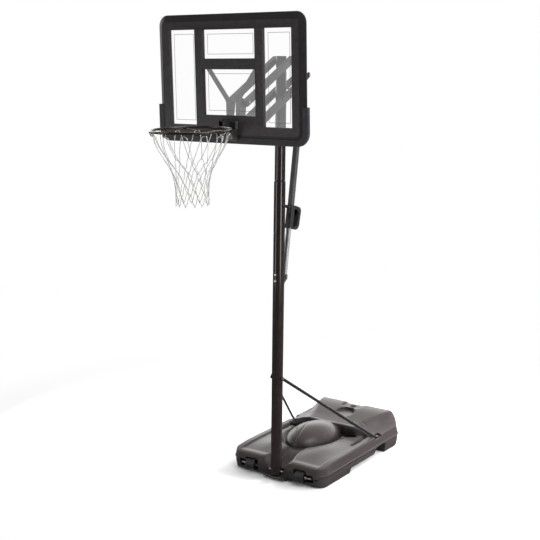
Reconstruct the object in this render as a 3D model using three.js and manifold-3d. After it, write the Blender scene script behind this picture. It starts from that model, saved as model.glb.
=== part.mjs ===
// Portable basketball hoop: wheeled ballast base, three-section leaning pole,
// parallelogram lift arms with a telescoping handle strut, framed clear
// backboard, sprung rim and net.
//
// Frame: millimetres, +Z up, origin on the floor where the pole axis meets it.
// The court is on the -Y side, the base reaches back along +Y, +X is to the
// right of a player who faces the board. "Front" is -Y, "rear" is +Y.

import * as THREE from 'three';
import { mergeVertices } from 'three/addons/utils/BufferGeometryUtils.js';
import Module from 'manifold-3d';

const wasm = await Module();
wasm.setup();

const { Vector2, Vector3 } = THREE;
const X_AXIS = new Vector3(1, 0, 0);
const QUARTER_TURN = Math.PI / 2;
const SIDES = [['left', -1], ['right', 1]];   // name, sign of x

// ---------------------------------------------------------------- shared dimensions
const GAP = 0.3;                       // clearance between neighbouring pieces
const SMALL_HOLE_R = 4.6;              // clearance hole for the small screws and bolts

const AXLE_Y = 2.75, AXLE_Z = 60, AXLE_R = 6, AXLE_HALF = 292;
const WHEEL_R = 38, WHEEL_W = 70, WHEEL_X = 206;
const FILLER_Y = 1010, FILLER_Z = 217;

// pole; POLE_... stations are distances from the origin along its axis
const POLE_LEAN = 0.04587;             // radians, top leans back
const POLE_R = 38, POLE_TOP_R = 35, POLE_WALL = 2.5;
const POLE_FOOT = 36, POLE_SEAM_LOW = 659, POLE_SEAM_HIGH = 1702;
const POLE_STEP = 2046, POLE_END = 2844;
const POLE_BRACE = 714, POLE_BOLT_HIGH = 1424, POLE_BOLT_LOW = 1383;

// base braces
const BRACE_INNER_X = POLE_R + 0.6, BRACE_OUTER_X = BRACE_INNER_X + 7;   // pad on the pole
const BRACE_FOOT_X = 357, BRACE_FOOT_Y = 736, BRACE_FOOT_Z = 140.5;
const BRACE_SCREW_Y = BRACE_FOOT_Y + 20, BRACE_PAD_Z = 138;
const BRACE_HOLE_R = 5.6;

// lift linkage, in the Y-Z plane
const PIVOT_RISE = 209.2;              // upper pole pivot above the lower, along the pole
const ARM_LEN = 515, ARM_SLOPE = 27 * Math.PI / 180;
const ARM_X = 64, ARM_W = 32, ARM_H = 40, ARM_WALL = 2;
const ARM_INNER_X = ARM_X - ARM_W / 2;
const ARM_BOLT_REACH = ARM_X + ARM_W / 2 + 1;
const PIVOT_BOLT_R = 6, PIVOT_HEAD_R = 10.5, PIVOT_HOLE_R = 6.4;
const LINK_BOLT_R = 5, LINK_HEAD_R = 8.5, LINK_HOLE_R = 5.4;
const YOKE_BOLT_Y = 74;                // behind the lower pivot, along the arm
const YOKE_OUTER_X = ARM_INNER_X - 0.4, YOKE_INNER_X = YOKE_OUTER_X - 5;

const onPole = distance =>
  new Vector3(0, distance * Math.sin(POLE_LEAN), distance * Math.cos(POLE_LEAN));
const lowerPivot = new Vector3(0, 119.6, 2605);
const POLE_PIVOT_LOW = lowerPivot.length();
const POLE_PIVOT_HIGH = POLE_PIVOT_LOW + PIVOT_RISE;
const upperPivot = onPole(POLE_PIVOT_HIGH);
const armReach = new Vector3(
  0, -ARM_LEN * Math.cos(ARM_SLOPE), -ARM_LEN * Math.sin(ARM_SLOPE));
const frontLowerPivot = lowerPivot.clone().add(armReach);
const frontUpperPivot = upperPivot.clone().add(armReach);

// telescoping strut
const strutTop = new Vector3(0, 376, 2721);
const strutFoot = new Vector3(0, 130, 1398);
const OUTER_TUBE = 32, INNER_TUBE = 25, STRUT_WALL = 2;
const STROKE = 300;                    // travel of the telescoping strut

const BOARD_FRONT_Y = -428.6, BOARD_REAR_Y = -386.6;

// ---------------------------------------------------------------- solid modelling
// Geometry to manifold; a manifold passes through unchanged.
function solid(shape) {
  if (!shape.isBufferGeometry) return shape;
  const bare = shape.clone();
  bare.deleteAttribute('normal');
  bare.deleteAttribute('uv');
  const merged = mergeVertices(bare, 1e-3);
  return new wasm.Manifold(new wasm.Mesh({
    numProp: 3,
    vertProperties: new Float32Array(merged.attributes.position.array),
    triVerts: new Uint32Array(merged.index.array),
  }));
}

function geometry(manifold) {
  const mesh = manifold.getMesh();
  const result = new THREE.BufferGeometry();
  const positions = new Float32Array(mesh.vertProperties);
  result.setAttribute('position', new THREE.BufferAttribute(positions, 3));
  result.setIndex(new THREE.BufferAttribute(new Uint32Array(mesh.triVerts), 1));
  result.computeVertexNormals();
  return result;
}

const subtract = (body, ...cutters) =>
  cutters.reduce((rest, cutter) => rest.subtract(solid(cutter)), solid(body));
const unite = (body, ...parts) =>
  parts.reduce((whole, part) => whole.add(solid(part)), solid(body));
const cut = (body, ...cutters) => geometry(subtract(body, ...cutters));
const join = (body, ...parts) => geometry(unite(body, ...parts));

// ---------------------------------------------------------------- basic shapes
const box = (x0, x1, y0, y1, z0, z1) =>
  new THREE.BoxGeometry(x1 - x0, y1 - y0, z1 - z0)
    .translate((x0 + x1) / 2, (y0 + y1) / 2, (z0 + z1) / 2);

// x range given for the right side, placed on the side of the sign
const sided = (sign, inner, outer) => (sign > 0 ? [inner, outer] : [-outer, -inner]);
// the same shape on both sides; make(x0, x1) builds one
const pair = (inner, outer, make) => [-1, 1].map(sign => make(...sided(sign, inner, outer)));

// round bar along X, Y or Z, centred at a point; six segments make a hexagon
function bar(axis, radius, length, [x, y, z], segments = 14) {
  const result = new THREE.CylinderGeometry(radius, radius, length, segments);
  if (axis === 'x') result.rotateZ(QUARTER_TURN);
  if (axis === 'z') result.rotateX(QUARTER_TURN);
  return result.translate(x, y, z);
}
// cutter along X through both sides
const crossHole = (radius, y, z) => bar('x', radius, 200, [0, y, z]);

// profile of [r, z] points turned about Z
const turned = (profile, segments = 24) =>
  new THREE.LatheGeometry(profile.map(([r, z]) => new Vector2(r, z)), segments)
    .rotateX(QUARTER_TURN);
const close = profile => [...profile, profile[0]];
const ring = (profile, segments) => turned(close(profile), segments);
// sleeve that runs outwards along X from its origin
const sleeve = (inner, outer, length, sign) =>
  ring([[inner, 0], [outer, 0], [outer, length], [inner, length]], 14)
    .rotateY(sign * QUARTER_TURN);

const polygon = points => new THREE.Shape(points.map(([x, y]) => new Vector2(x, y)));
const rectangle = (halfWidth, halfHeight) => polygon([
  [-halfWidth, -halfHeight], [halfWidth, -halfHeight],
  [halfWidth, halfHeight], [-halfWidth, halfHeight]]);

function roundRect(x0, x1, y0, y1, r) {
  const shape = new THREE.Shape();
  shape.moveTo(x0 + r, y0);
  shape.lineTo(x1 - r, y0);
  shape.absarc(x1 - r, y0 + r, r, -QUARTER_TURN, 0, false);
  shape.lineTo(x1, y1 - r);
  shape.absarc(x1 - r, y1 - r, r, 0, QUARTER_TURN, false);
  shape.lineTo(x0 + r, y1);
  shape.absarc(x0 + r, y1 - r, r, QUARTER_TURN, Math.PI, false);
  shape.lineTo(x0, y0 + r);
  shape.absarc(x0 + r, y0 + r, r, Math.PI, 1.5 * Math.PI, false);
  return shape;
}

const chamfer = (size, depth) =>
  ({ bevelEnabled: true, bevelThickness: depth, bevelSize: size, bevelSegments: 1 });
const extrude = (shape, depth, curveSegments = 5, bevel = {}) =>
  new THREE.ExtrudeGeometry(shape, { depth, bevelEnabled: false, curveSegments, ...bevel });
// shape drawn in X-Z, extruded along Y
const wallXZ = (shape, y0, y1, curveSegments = 6, bevel = {}) =>
  extrude(shape, y1 - y0, curveSegments, bevel).rotateX(QUARTER_TURN).translate(0, y1, 0);
// local (x, y, z) -> world (z, x, y)
const TO_YZ = new THREE.Matrix4().set(0, 0, 1, 0, 1, 0, 0, 0, 0, 1, 0, 0, 0, 0, 0, 1);
// outline of [y, z] points, extruded along X
const wallYZ = (points, x0, x1) =>
  extrude(polygon(points), x1 - x0).applyMatrix4(TO_YZ).translate(x0, 0, 0);

// elliptical section swept along a curve
function sweep(path, halfWidth, halfHeight, steps, curveSegments) {
  const section = new THREE.Shape();
  section.absellipse(0, 0, halfWidth, halfHeight, 0, Math.PI * 2);
  return new THREE.ExtrudeGeometry(
    section, { steps, curveSegments, bevelEnabled: false, extrudePath: path });
}

// bolt along X: shank out to +-reach, hex head at +X and hex nut at -X
function crossBolt(radius, reach, headRadius, y, z) {
  const thickness = headRadius * 0.55, headX = reach + thickness / 2;
  return join(
    bar('x', radius, 2 * reach + 2, [0, y, z]),
    bar('x', headRadius, thickness, [headX, y, z], 6),
    bar('x', headRadius, thickness, [-headX, y, z], 6));
}
const pivotBolt = (y, z) => crossBolt(PIVOT_BOLT_R, ARM_BOLT_REACH, PIVOT_HEAD_R, y, z);
const linkBolt = (reach, y, z) => crossBolt(LINK_BOLT_R, reach, LINK_HEAD_R, y, z);

// ---------------------------------------------------------------- materials and scene
const material = ({ color, roughness, metalness = 0 }) =>
  new THREE.MeshStandardMaterial({ color, roughness, metalness });
const MATERIALS = {
  tank: material({ color: 0x5c5858, roughness: 0.62 }),
  cap: material({ color: 0x18181a, roughness: 0.5 }),
  tyre: material({ color: 0x1b1b1c, roughness: 0.7 }),
  pole: material({ color: 0x241c1a, roughness: 0.32, metalness: 0.5 }),
  arm: material({ color: 0x2c2a2b, roughness: 0.4, metalness: 0.5 }),
  zinc: material({ color: 0xb9bbbd, roughness: 0.3, metalness: 1 }),
  strut: material({ color: 0x3a3a3c, roughness: 0.42, metalness: 0.5 }),
  galvanised: material({ color: 0xb4b4b2, roughness: 0.35, metalness: 1 }),
  grip: material({ color: 0x111112, roughness: 0.6 }),
  frame: material({ color: 0x3a3536, roughness: 0.5 }),
  panel: material({ color: 0xe8eef0, roughness: 0.08 }),
  bumper: material({ color: 0x37333a, roughness: 0.62 }),
  rim: material({ color: 0x2c1b1a, roughness: 0.35, metalness: 0.4 }),
  net: material({ color: 0xf2f2ee, roughness: 0.9 }),
  plate: material({ color: 0x2a2829, roughness: 0.45, metalness: 0.6 }),
};

const root = new THREE.Group();
function addGroup() {
  const group = new THREE.Group();
  root.add(group);
  return group;
}
function add(parent, name, shape, meshMaterial, [x, y, z] = [0, 0, 0]) {
  const mesh = new THREE.Mesh(shape, meshMaterial);
  mesh.name = name;
  mesh.position.set(x, y, z);
  parent.add(mesh);
  return mesh;
}

// ---------------------------------------------------------------- base tank
const BASE_HALF_W = 388;               // at the parting flange
const BASE_FRONT_Y = -10, BASE_REAR_Y = 1095;
const BASE_FRONT_CORNER = 85, BASE_REAR_CORNER = 110;
const BASE_FLANGE_Z = 85;
const BASE_LIP_IN = 16, BASE_FOOT_IN = 18;   // inset at the deck and at the floor
const BASE_LEDGE_Y = -40;              // front of the ledge under the pole foot
const BASE_DECK_Z = 155;
const BASE_FLOAT = 36;                 // underside lift between the feet
const BLOCK_FRONT_Z = 200, BLOCK_REAR_Z = 240;
const CHANNEL_Z = 60, MOAT_Z = 122;    // lowest deck level at the pole and round the dome
const DOME = { x: -45, y: 529, halfX: 172, halfY: 248, crownZ: 229 };

// smoothstep from 0 at `from` to 1 at `to`; the range may run downwards
function smooth(from, to, value) {
  const t = THREE.MathUtils.clamp((value - from) / (to - from), 0, 1);
  return t * t * (3 - 2 * t);
}

// height of the deck surface at a plan position
function deckHeight(x, y) {
  const side = Math.abs(x);
  // two front lobes: a level outer strip, a shallow dish and a low crest
  const dish = 10 * smooth(330, 285, side) * smooth(20, 75, y) * (1 - smooth(560, 640, y));
  const crest = 8 * Math.exp(-(((side - 150) / 90) ** 2) - ((y - 230) / 130) ** 2);
  const lobe = BASE_DECK_Z - dish + crest;
  let z = lobe;
  // channel from the pole slot back to the dome
  if (y < 330) {
    const floor = CHANNEL_Z + (MOAT_Z - CHANNEL_Z) * smooth(40, 270, y);
    const bank = smooth(50, 96 - 26 * smooth(0, 180, y), side);
    z = Math.min(z, floor + (lobe - floor) * bank);
  }
  // moat round the dome, and the dome itself
  const moat = Math.hypot((x - DOME.x) / (DOME.halfX + 4), (y - DOME.y) / (DOME.halfY + 4));
  z = Math.min(z, MOAT_Z + (lobe - MOAT_Z) * smooth(1, 1.24, moat));
  const dome = ((x - DOME.x) / DOME.halfX) ** 2 + ((y - DOME.y) / DOME.halfY) ** 2;
  if (dome < 1) z = Math.max(z, MOAT_Z + (DOME.crownZ - MOAT_Z) * Math.sqrt(1 - dome));
  // rear block with sloping shoulders and a shallow recess near its rear edge
  const blockHalfW = 190 + 97 * smooth(760, 1060, y);
  const recess = 9 * smooth(960, 990, y) * (1 - smooth(70, 84, Math.abs(x + 8)));
  const top = BLOCK_FRONT_Z + (BLOCK_REAR_Z - BLOCK_FRONT_Z) * smooth(690, 1030, y) - recess;
  const shoulder = smooth(blockHalfW, BASE_HALF_W - BASE_LIP_IN, side);
  const block = BASE_DECK_Z + (top - BASE_DECK_Z) * (1 - shoulder);
  z += (block - z) * smooth(678, 700, y);
  return z - 22 * smooth(1056, BASE_REAR_Y, y);
}

function planOutline(inset) {
  const halfW = BASE_HALF_W - inset;
  const front = BASE_FRONT_Y + inset, rear = BASE_REAR_Y - inset;
  const frontR = BASE_FRONT_CORNER - inset, rearR = BASE_REAR_CORNER - inset;
  const shape = new THREE.Shape();
  shape.moveTo(-halfW, front + frontR);
  shape.absarc(-halfW + frontR, front + frontR, frontR, Math.PI, 1.5 * Math.PI, false);
  shape.lineTo(halfW - frontR, front);
  shape.absarc(halfW - frontR, front + frontR, frontR, -QUARTER_TURN, 0, false);
  shape.lineTo(halfW, rear - rearR);
  shape.absarc(halfW - rearR, rear - rearR, rearR, 0, QUARTER_TURN, false);
  shape.lineTo(-halfW + rearR, rear);
  shape.absarc(-halfW + rearR, rear - rearR, rearR, QUARTER_TURN, Math.PI, false);
  shape.closePath();
  return shape;
}

// block whose top face follows the deck
function deckField() {
  const width = 2 * BASE_HALF_W + 20, length = BASE_REAR_Y + 60;
  const field = new THREE.BoxGeometry(width, length, 100, 26, 38, 1)
    .translate(0, length / 2 - 40, 50);
  const points = field.attributes.position;
  for (let i = 0; i < points.count; i++) {
    if (points.getZ(i) > 50) points.setZ(i, deckHeight(points.getX(i), points.getY(i)));
  }
  return field;
}

// sides flare down to a flange at the parting line and taper in below it
function tankEnvelope() {
  const flared = (inset, height) => solid(
    extrude(planOutline(inset), 0.5, 5, chamfer(inset, height)).translate(0, 0, BASE_FLANGE_Z));
  const layer = (z0, z1) => solid(box(-900, 900, -900, 1900, z0, z1));
  const upper = flared(BASE_LIP_IN, BASE_DECK_Z - BASE_FLANGE_Z)
    .intersect(layer(BASE_FLANGE_Z - 2, 400));
  const above = extrude(planOutline(BASE_LIP_IN), 200).translate(0, 0, BASE_DECK_Z - 0.5);
  const lower = flared(BASE_FOOT_IN, BASE_FLANGE_Z).intersect(layer(-1, BASE_FLANGE_Z));
  return unite(upper, above, lower);
}

// outlines cut from or added to the tank, [y, z]
const FRONT_EDGE_MIDDLE = [[-60, -10], [-60, 33], [-14, 33], [20, 14], [58, 0], [58, -10]];
const FRONT_EDGE_OUTER = [[-60, -10], [-60, 30], [-12, 28], [8, 12], [46, 0], [46, -10]];
const LEDGE = [
  [BASE_LEDGE_Y, 24], [BASE_LEDGE_Y, 30], [BASE_LEDGE_Y + 3, 33], [70, 33], [70, 0], [-5, 0]];
const WAIST_NOTCH = [[684, -10], [684, 34], [722, 84], [826, 84], [834, 72], [834, -10]];
// flared slot for the pole, [x, z]
const POLE_SLOT = [
  [-46, 30], [46, 30], [46, 62], [92, 152], [92, 330], [-92, 330], [-92, 152], [-46, 62]];

function addBaseTank() {
  const blank = subtract(
    solid(deckField()).intersect(tankEnvelope()),
    wallYZ(FRONT_EDGE_MIDDLE, -152, 152),
    ...pair(151, 400, (x0, x1) => wallYZ(FRONT_EDGE_OUTER, x0, x1)));
  const wellRear = AXLE_Y + WHEEL_R + 6;
  const tray = new THREE.CylinderGeometry(1, 1, 60, 22)
    .rotateX(QUARTER_TURN).scale(72, 82, 1).translate(0, 885, 243);
  const tank = cut(
    unite(blank, wallYZ(LEDGE, -85, 85)),
    wallXZ(polygon(POLE_SLOT), -60, 52),
    // bore for the axle
    bar('x', AXLE_R + 1.2, 700, [0, AXLE_Y, AXLE_Z]),
    // wheel wells and the recesses for the axle ends
    ...pair(152, 250, (x0, x1) => box(x0, x1, -80, wellRear, -10, 106)),
    ...pair(249, 306, (x0, x1) => box(x0, x1, -80, 30, 34, 88)),
    // raised underside between the front feet and the rear foot
    box(-500, 500, 369, 834, -10, BASE_FLOAT),
    ...pair(BASE_HALF_W - 66, 500, (x0, x1) => wallYZ(WAIST_NOTCH, x0, x1)),
    // shallow tray and the filler seat
    tray,
    bar('z', 22, 60, [0, FILLER_Y, FILLER_Z + 30], 24),
    // landings and screw holes for the pole braces
    ...pair(338, 420, (x0, x1) => box(x0, x1, 700, 786, BRACE_PAD_Z - GAP, 400)),
    ...[-1, 1].map(sign => bar('z', 4.8, 60, [sign * BRACE_FOOT_X, BRACE_SCREW_Y, 150], 12)));
  add(root, 'base_tank', tank, MATERIALS.tank);
}

// filler cap, seated in the rear deck
function addFillCap() {
  const cap = join(
    turned([[0, 0], [19, 0], [20.5, 2], [20.5, 8], [18, 10], [0, 10]]),
    box(-15, 15, -3, 3, 9, 14));
  add(root, 'fill_cap', cap, MATERIALS.cap, [0, FILLER_Y, FILLER_Z + GAP]);
}

// ---------------------------------------------------------------- axle and wheels
function addAxleAndWheels() {
  const axle = bar('x', AXLE_R, 2 * AXLE_HALF, [0, AXLE_Y, AXLE_Z], 20);
  add(root, 'wheel_axle', axle, MATERIALS.zinc);

  const half = WHEEL_W / 2, bore = AXLE_R + GAP + 0.2, clipBore = AXLE_R + GAP;
  // one half of the wheel section from bore to tread, [r, distance from mid-plane]
  const face = [
    [bore, half], [16, half], [17, half - 7], [WHEEL_R - 9, half - 7],
    [WHEEL_R - 7, half], [WHEEL_R - 3, half], [WHEEL_R, half - 3]];
  const wheelProfile = [...face.map(([r, z]) => [r, -z]), ...[...face].reverse()];
  const clipProfile = [[clipBore, 0], [13, 0], [13, 2], [10, 5], [10, 9], [clipBore, 9]];
  for (const [side, sign] of SIDES) {
    const wheel = add(root, `wheel_${side}`, ring(wheelProfile, 22), MATERIALS.tyre,
      [sign * WHEEL_X, AXLE_Y, AXLE_Z]);
    wheel.rotation.y = QUARTER_TURN;
    add(root, `axle_clip_${side}`, ring(clipProfile, 14).rotateY(sign * QUARTER_TURN),
      MATERIALS.zinc, [sign * (WHEEL_X + half + 1.5), AXLE_Y, AXLE_Z]);
  }
}

// ---------------------------------------------------------------- pole
// tube with a spigot that enters the section above
function spigotTube(foot, seam, spigotLength) {
  const bore = POLE_R - POLE_WALL, spigot = bore - GAP, spigotBore = spigot - POLE_WALL;
  return ring([
    [bore, foot], [POLE_R, foot], [POLE_R, seam - GAP], [spigot, seam - GAP],
    [spigot, seam + spigotLength], [spigotBore, seam + spigotLength],
    [spigotBore, seam - 20], [bore, seam - 24]]);
}

function addPole(pole) {
  const bore = POLE_R - POLE_WALL, topBore = POLE_TOP_R - POLE_WALL;
  const braceHole = crossHole(BRACE_HOLE_R, 0, POLE_BRACE);
  add(pole, 'pole_bottom', cut(
    spigotTube(POLE_FOOT, POLE_SEAM_LOW, 100),
    crossHole(AXLE_R + 0.8, 0, AXLE_Z / Math.cos(POLE_LEAN)), braceHole), MATERIALS.pole);
  add(pole, 'pole_middle', cut(
    spigotTube(POLE_SEAM_LOW, POLE_SEAM_HIGH, 90),
    braceHole,
    bar('y', SMALL_HOLE_R, 120, [0, 0, POLE_BOLT_HIGH]),
    bar('y', SMALL_HOLE_R, 120, [0, 0, POLE_BOLT_LOW])), MATERIALS.pole);
  const topTube = ring([
    [bore, POLE_SEAM_HIGH], [POLE_R, POLE_SEAM_HIGH], [POLE_R, POLE_STEP],
    [POLE_TOP_R, POLE_STEP + 6], [POLE_TOP_R, POLE_END], [topBore, POLE_END],
    [topBore, POLE_STEP + 2], [bore, POLE_STEP - 8]]);
  add(pole, 'pole_top', cut(
    topTube, crossHole(6.6, 0, POLE_PIVOT_LOW), crossHole(6.6, 0, POLE_PIVOT_HIGH)),
  MATERIALS.pole);
  add(pole, 'pole_top_cap', turned([
    [0, POLE_END - 16], [topBore - GAP, POLE_END - 16], [topBore - GAP, POLE_END + GAP],
    [POLE_TOP_R, POLE_END + GAP], [POLE_TOP_R, POLE_END + 3], [POLE_TOP_R - 4, POLE_END + 6],
    [0, POLE_END + 7]]), MATERIALS.cap);
}

// ---------------------------------------------------------------- base braces
// oval bar from the pole to the deck edge, with a pad at each end
function baseBrace(sign) {
  const { y: topY, z: topZ } = onPole(POLE_BRACE);
  const top = new Vector3(sign * 42.5, topY, topZ);
  const foot = new Vector3(sign * BRACE_FOOT_X, BRACE_FOOT_Y, BRACE_FOOT_Z);
  const path = new THREE.CatmullRomCurve3([
    top.clone().add(new Vector3(0, -14, 12)),
    top,
    new Vector3(sign * 56, topY + 36, topZ - 27),
    foot.clone().lerp(top, 0.06),
    foot,
    foot.clone().add(new Vector3(sign * 3, 26, -3)),
  ], false, 'catmullrom', 0.05);
  const [padX0, padX1] = sided(sign, BRACE_INNER_X, BRACE_OUTER_X);
  const { x, y } = foot;
  const body = unite(
    sweep(path, 7.5, 11, 9, 5),
    box(padX0, padX1, topY - 18, topY + 16, topZ - 16, topZ + 18),
    box(x - 13, x + 13, y - 8, y + 34, BRACE_PAD_Z, 143));
  return cut(
    body,
    bar('x', BRACE_HOLE_R, 40, [sign * 42, topY, topZ]),
    // clearance for the leaning pole
    bar('z', BRACE_INNER_X, 300, [0, 0, 0], 24).rotateX(-POLE_LEAN).translate(0, topY, topZ),
    // clearance for the bolt head
    bar('x', 11, 30, [sign * (BRACE_OUTER_X + GAP + 15), topY, topZ], 12),
    // trim below the foot pad, screw hole and flat for the screw head
    box(x - 30, x + 30, y - 60, y + 60, 100, BRACE_PAD_Z - 0.1),
    bar('z', 4.7, 60, [x, BRACE_SCREW_Y, 140]),
    box(x - 9.5, x + 9.5, y + 10.5, y + 60, 143.2, 200));
}

function addBraces(pole) {
  for (const [side, sign] of SIDES) {
    const x = sign * BRACE_FOOT_X;
    add(root, `base_brace_${side}`, baseBrace(sign), MATERIALS.arm);
    add(root, `brace_foot_bolt_${side}`, join(
      bar('z', 4.4, 24, [x, BRACE_SCREW_Y, 132.5]),
      bar('z', 8, 6, [x, BRACE_SCREW_Y, 146.4], 6)), MATERIALS.zinc);
  }
  add(pole, 'brace_pole_bolt', linkBolt(BRACE_OUTER_X + 0.6, 0, POLE_BRACE), MATERIALS.zinc);
}

// ---------------------------------------------------------------- lift bracket
// back plate on the pole with two ears for the strut pin
function addLiftBracket(pole) {
  const { y, z } = strutFoot.clone().applyAxisAngle(X_AXIS, POLE_LEAN);   // pole coordinates
  const plateY = POLE_R + GAP + 0.4;
  const ear = [
    [plateY + 3, POLE_BOLT_LOW - 22], [y + 4, z - 17], [y + 11, z - 14],
    [y + 12, z + 12], [y + 4, z + 15], [plateY + 3, POLE_BOLT_HIGH - 6]];
  // rear-open slot for the strut pin
  const slot = [
    [y - 5.6, z - 5.4], [y, z - 6], [y + 8, z - 8.2],
    [y + 40, z - 15], [y + 40, z + 7], [y - 5.6, z + 6.4]];
  const plate = join(
    box(-19, 19, plateY, plateY + 4, POLE_BOLT_LOW - 24, POLE_BOLT_HIGH + 16),
    ...pair(15.5, 19, (x0, x1) => wallYZ(ear, x0, x1)));
  add(pole, 'lift_bracket', cut(
    plate,
    bar('y', SMALL_HOLE_R, 60, [0, plateY, POLE_BOLT_HIGH]),
    bar('y', SMALL_HOLE_R, 60, [0, plateY, POLE_BOLT_LOW]),
    wallYZ(slot, -30, 30)), MATERIALS.arm);
  // round head in front of the pole, hex nut behind the plate
  for (const [level, station] of [['upper', POLE_BOLT_HIGH], ['lower', POLE_BOLT_LOW]]) {
    add(pole, `lift_bracket_bolt_${level}`, join(
      bar('y', 4.2, 2 * POLE_R + 17, [0, 2.6, station]),
      bar('y', 9.5, 4.5, [0, -POLE_R - 3.2, station], 20),
      bar('y', 7.5, 4.6, [0, plateY + 6.8, station], 6)), MATERIALS.zinc);
  }
}

// ---------------------------------------------------------------- lift linkage
// pivot bolts and nylon spacers between pole and arms; the lower spacers leave
// room for the yoke bars
function addPolePivots(pole) {
  const inner = POLE_TOP_R + 0.6;
  for (const [level, station, clearance] of [
    ['lower', POLE_PIVOT_LOW, 5.8], ['upper', POLE_PIVOT_HIGH, 0.6]]) {
    add(pole, `${level}_pivot_bolt`, pivotBolt(0, station), MATERIALS.zinc);
    for (const [side, sign] of SIDES) {
      const spacer = sleeve(6.5, 13, ARM_INNER_X - clearance - inner, sign);
      add(pole, `pole_spacer_${level}_${side}`, spacer, MATERIALS.cap,
        [sign * inner, 0, station]);
    }
  }
}

// rectangular tube along local Y
function armTube(y0, y1) {
  const section = rectangle(ARM_W / 2, ARM_H / 2);
  section.holes.push(rectangle(ARM_W / 2 - ARM_WALL, ARM_H / 2 - ARM_WALL));
  return wallXZ(section, y0, y1);
}

function addArms() {
  for (const [level, pivot, rearEnd] of [['lower', lowerPivot, 96], ['upper', upperPivot, 34]]) {
    const arms = addGroup();
    arms.position.copy(pivot);
    arms.rotation.x = ARM_SLOPE;       // local -Y points at the board and down
    const holes = [crossHole(PIVOT_HOLE_R, 0, 0), crossHole(PIVOT_HOLE_R, -ARM_LEN, 0)];
    if (level === 'lower') holes.push(crossHole(LINK_HOLE_R, YOKE_BOLT_Y, 0));
    for (const [side, sign] of SIDES) {
      add(arms, `${level}_arm_${side}`, cut(armTube(-ARM_LEN - 24, rearEnd), ...holes),
        MATERIALS.arm, [sign * ARM_X, 0, 0]);
    }
    if (level === 'lower') {
      add(arms, 'yoke_bolt', linkBolt(ARM_BOLT_REACH, YOKE_BOLT_Y, 0), MATERIALS.zinc);
    }
  }
}

// two flat bars from the lower arms to the strut's top bolt
function addYoke() {
  // strut top in the arm frame
  const { y, z } = strutTop.clone().sub(lowerPivot).applyAxisAngle(X_AXIS, -ARM_SLOPE);
  const outline = [
    [-20, -15], [0, -19], [90, -19], [150, z - 26], [y + 8, z - 17], [y + 19, z],
    [y + 8, z + 17], [140, 14], [90, 17], [0, 17], [-20, 12]];
  for (const [side, sign] of SIDES) {
    const holder = addGroup();
    holder.position.copy(lowerPivot);
    holder.rotation.x = ARM_SLOPE;
    add(holder, `lift_yoke_${side}`, cut(
      wallYZ(outline, ...sided(sign, YOKE_INNER_X, YOKE_OUTER_X)),
      crossHole(PIVOT_HOLE_R, 0, 0),
      crossHole(LINK_HOLE_R, YOKE_BOLT_Y, 0),
      crossHole(LINK_HOLE_R, y, z)), MATERIALS.arm);
  }
  add(root, 'lift_top_bolt', linkBolt(YOKE_OUTER_X + 0.6, strutTop.y, strutTop.z),
    MATERIALS.zinc);
  const spacerX = OUTER_TUBE / 2 + 0.4;
  for (const [side, sign] of SIDES) {
    const spacer = sleeve(5.5, 9, YOKE_INNER_X - 0.4 - spacerX, sign);
    add(root, `strut_spacer_${side}`, spacer, MATERIALS.cap,
      [sign * spacerX, strutTop.y, strutTop.z]);
  }
}

// ---------------------------------------------------------------- lift strut
const HANDLE_BOTTOM_Z = 1716, HANDLE_TOP_Z = 1868;
const HANDLE_BORE = OUTER_TUBE / 2 + GAP;   // half width of the square bore
const HANDLE_HALF = 19.5;              // half width of the sleeve

function squareTube(width, z0, z1) {
  const half = width / 2, bore = half - STRUT_WALL;
  return cut(
    box(-half, half, -half, half, z0, z1),
    box(-bore, bore, -bore, bore, z0 - 1, z1 + 1));
}

// D-handle: sleeve on the tube with a grip loop behind it and a stub ahead
function handle(height) {
  const loop = [
    [-46, height - 20], [-46, height], [40, height], [92, height - 10], [106, height - 30],
    [98, 22], [84, 2], [66, -6], [0, 0], [-HANDLE_HALF, 0], [-HANDLE_HALF, 19],
    [-HANDLE_BORE - 3, 19], [-HANDLE_BORE - 3, height - 22]];
  const opening = [
    [HANDLE_HALF + 5, height - 24], [62, height - 27], [80, height - 44],
    [74, 32], [62, 17], [HANDLE_HALF + 5, 19]];
  const body = join(
    box(-HANDLE_HALF, HANDLE_HALF, -HANDLE_HALF, HANDLE_HALF, 0.2, height - 0.2),
    wallYZ(loop, -15, 15));
  return cut(
    body,
    wallYZ(opening, -40, 40),
    box(-HANDLE_BORE, HANDLE_BORE, -HANDLE_BORE, HANDLE_BORE, -10, height + 10),
    // trigger slot in the front of the sleeve
    box(-8, 8, -70, -HANDLE_BORE + 19, 52, 104));
}

// trigger with its lock tooth reaching through both tubes
const trigger = () => join(
  wallYZ([
    [-37, 58], [-37, 92], [-HANDLE_HALF - 2, 102],
    [-HANDLE_BORE - 1, 98], [-HANDLE_BORE - 1, 62]], -7, 7),
  box(-3.6, 3.6, -HANDLE_BORE - 2, -9.2, 73.5, 82.5));

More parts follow.
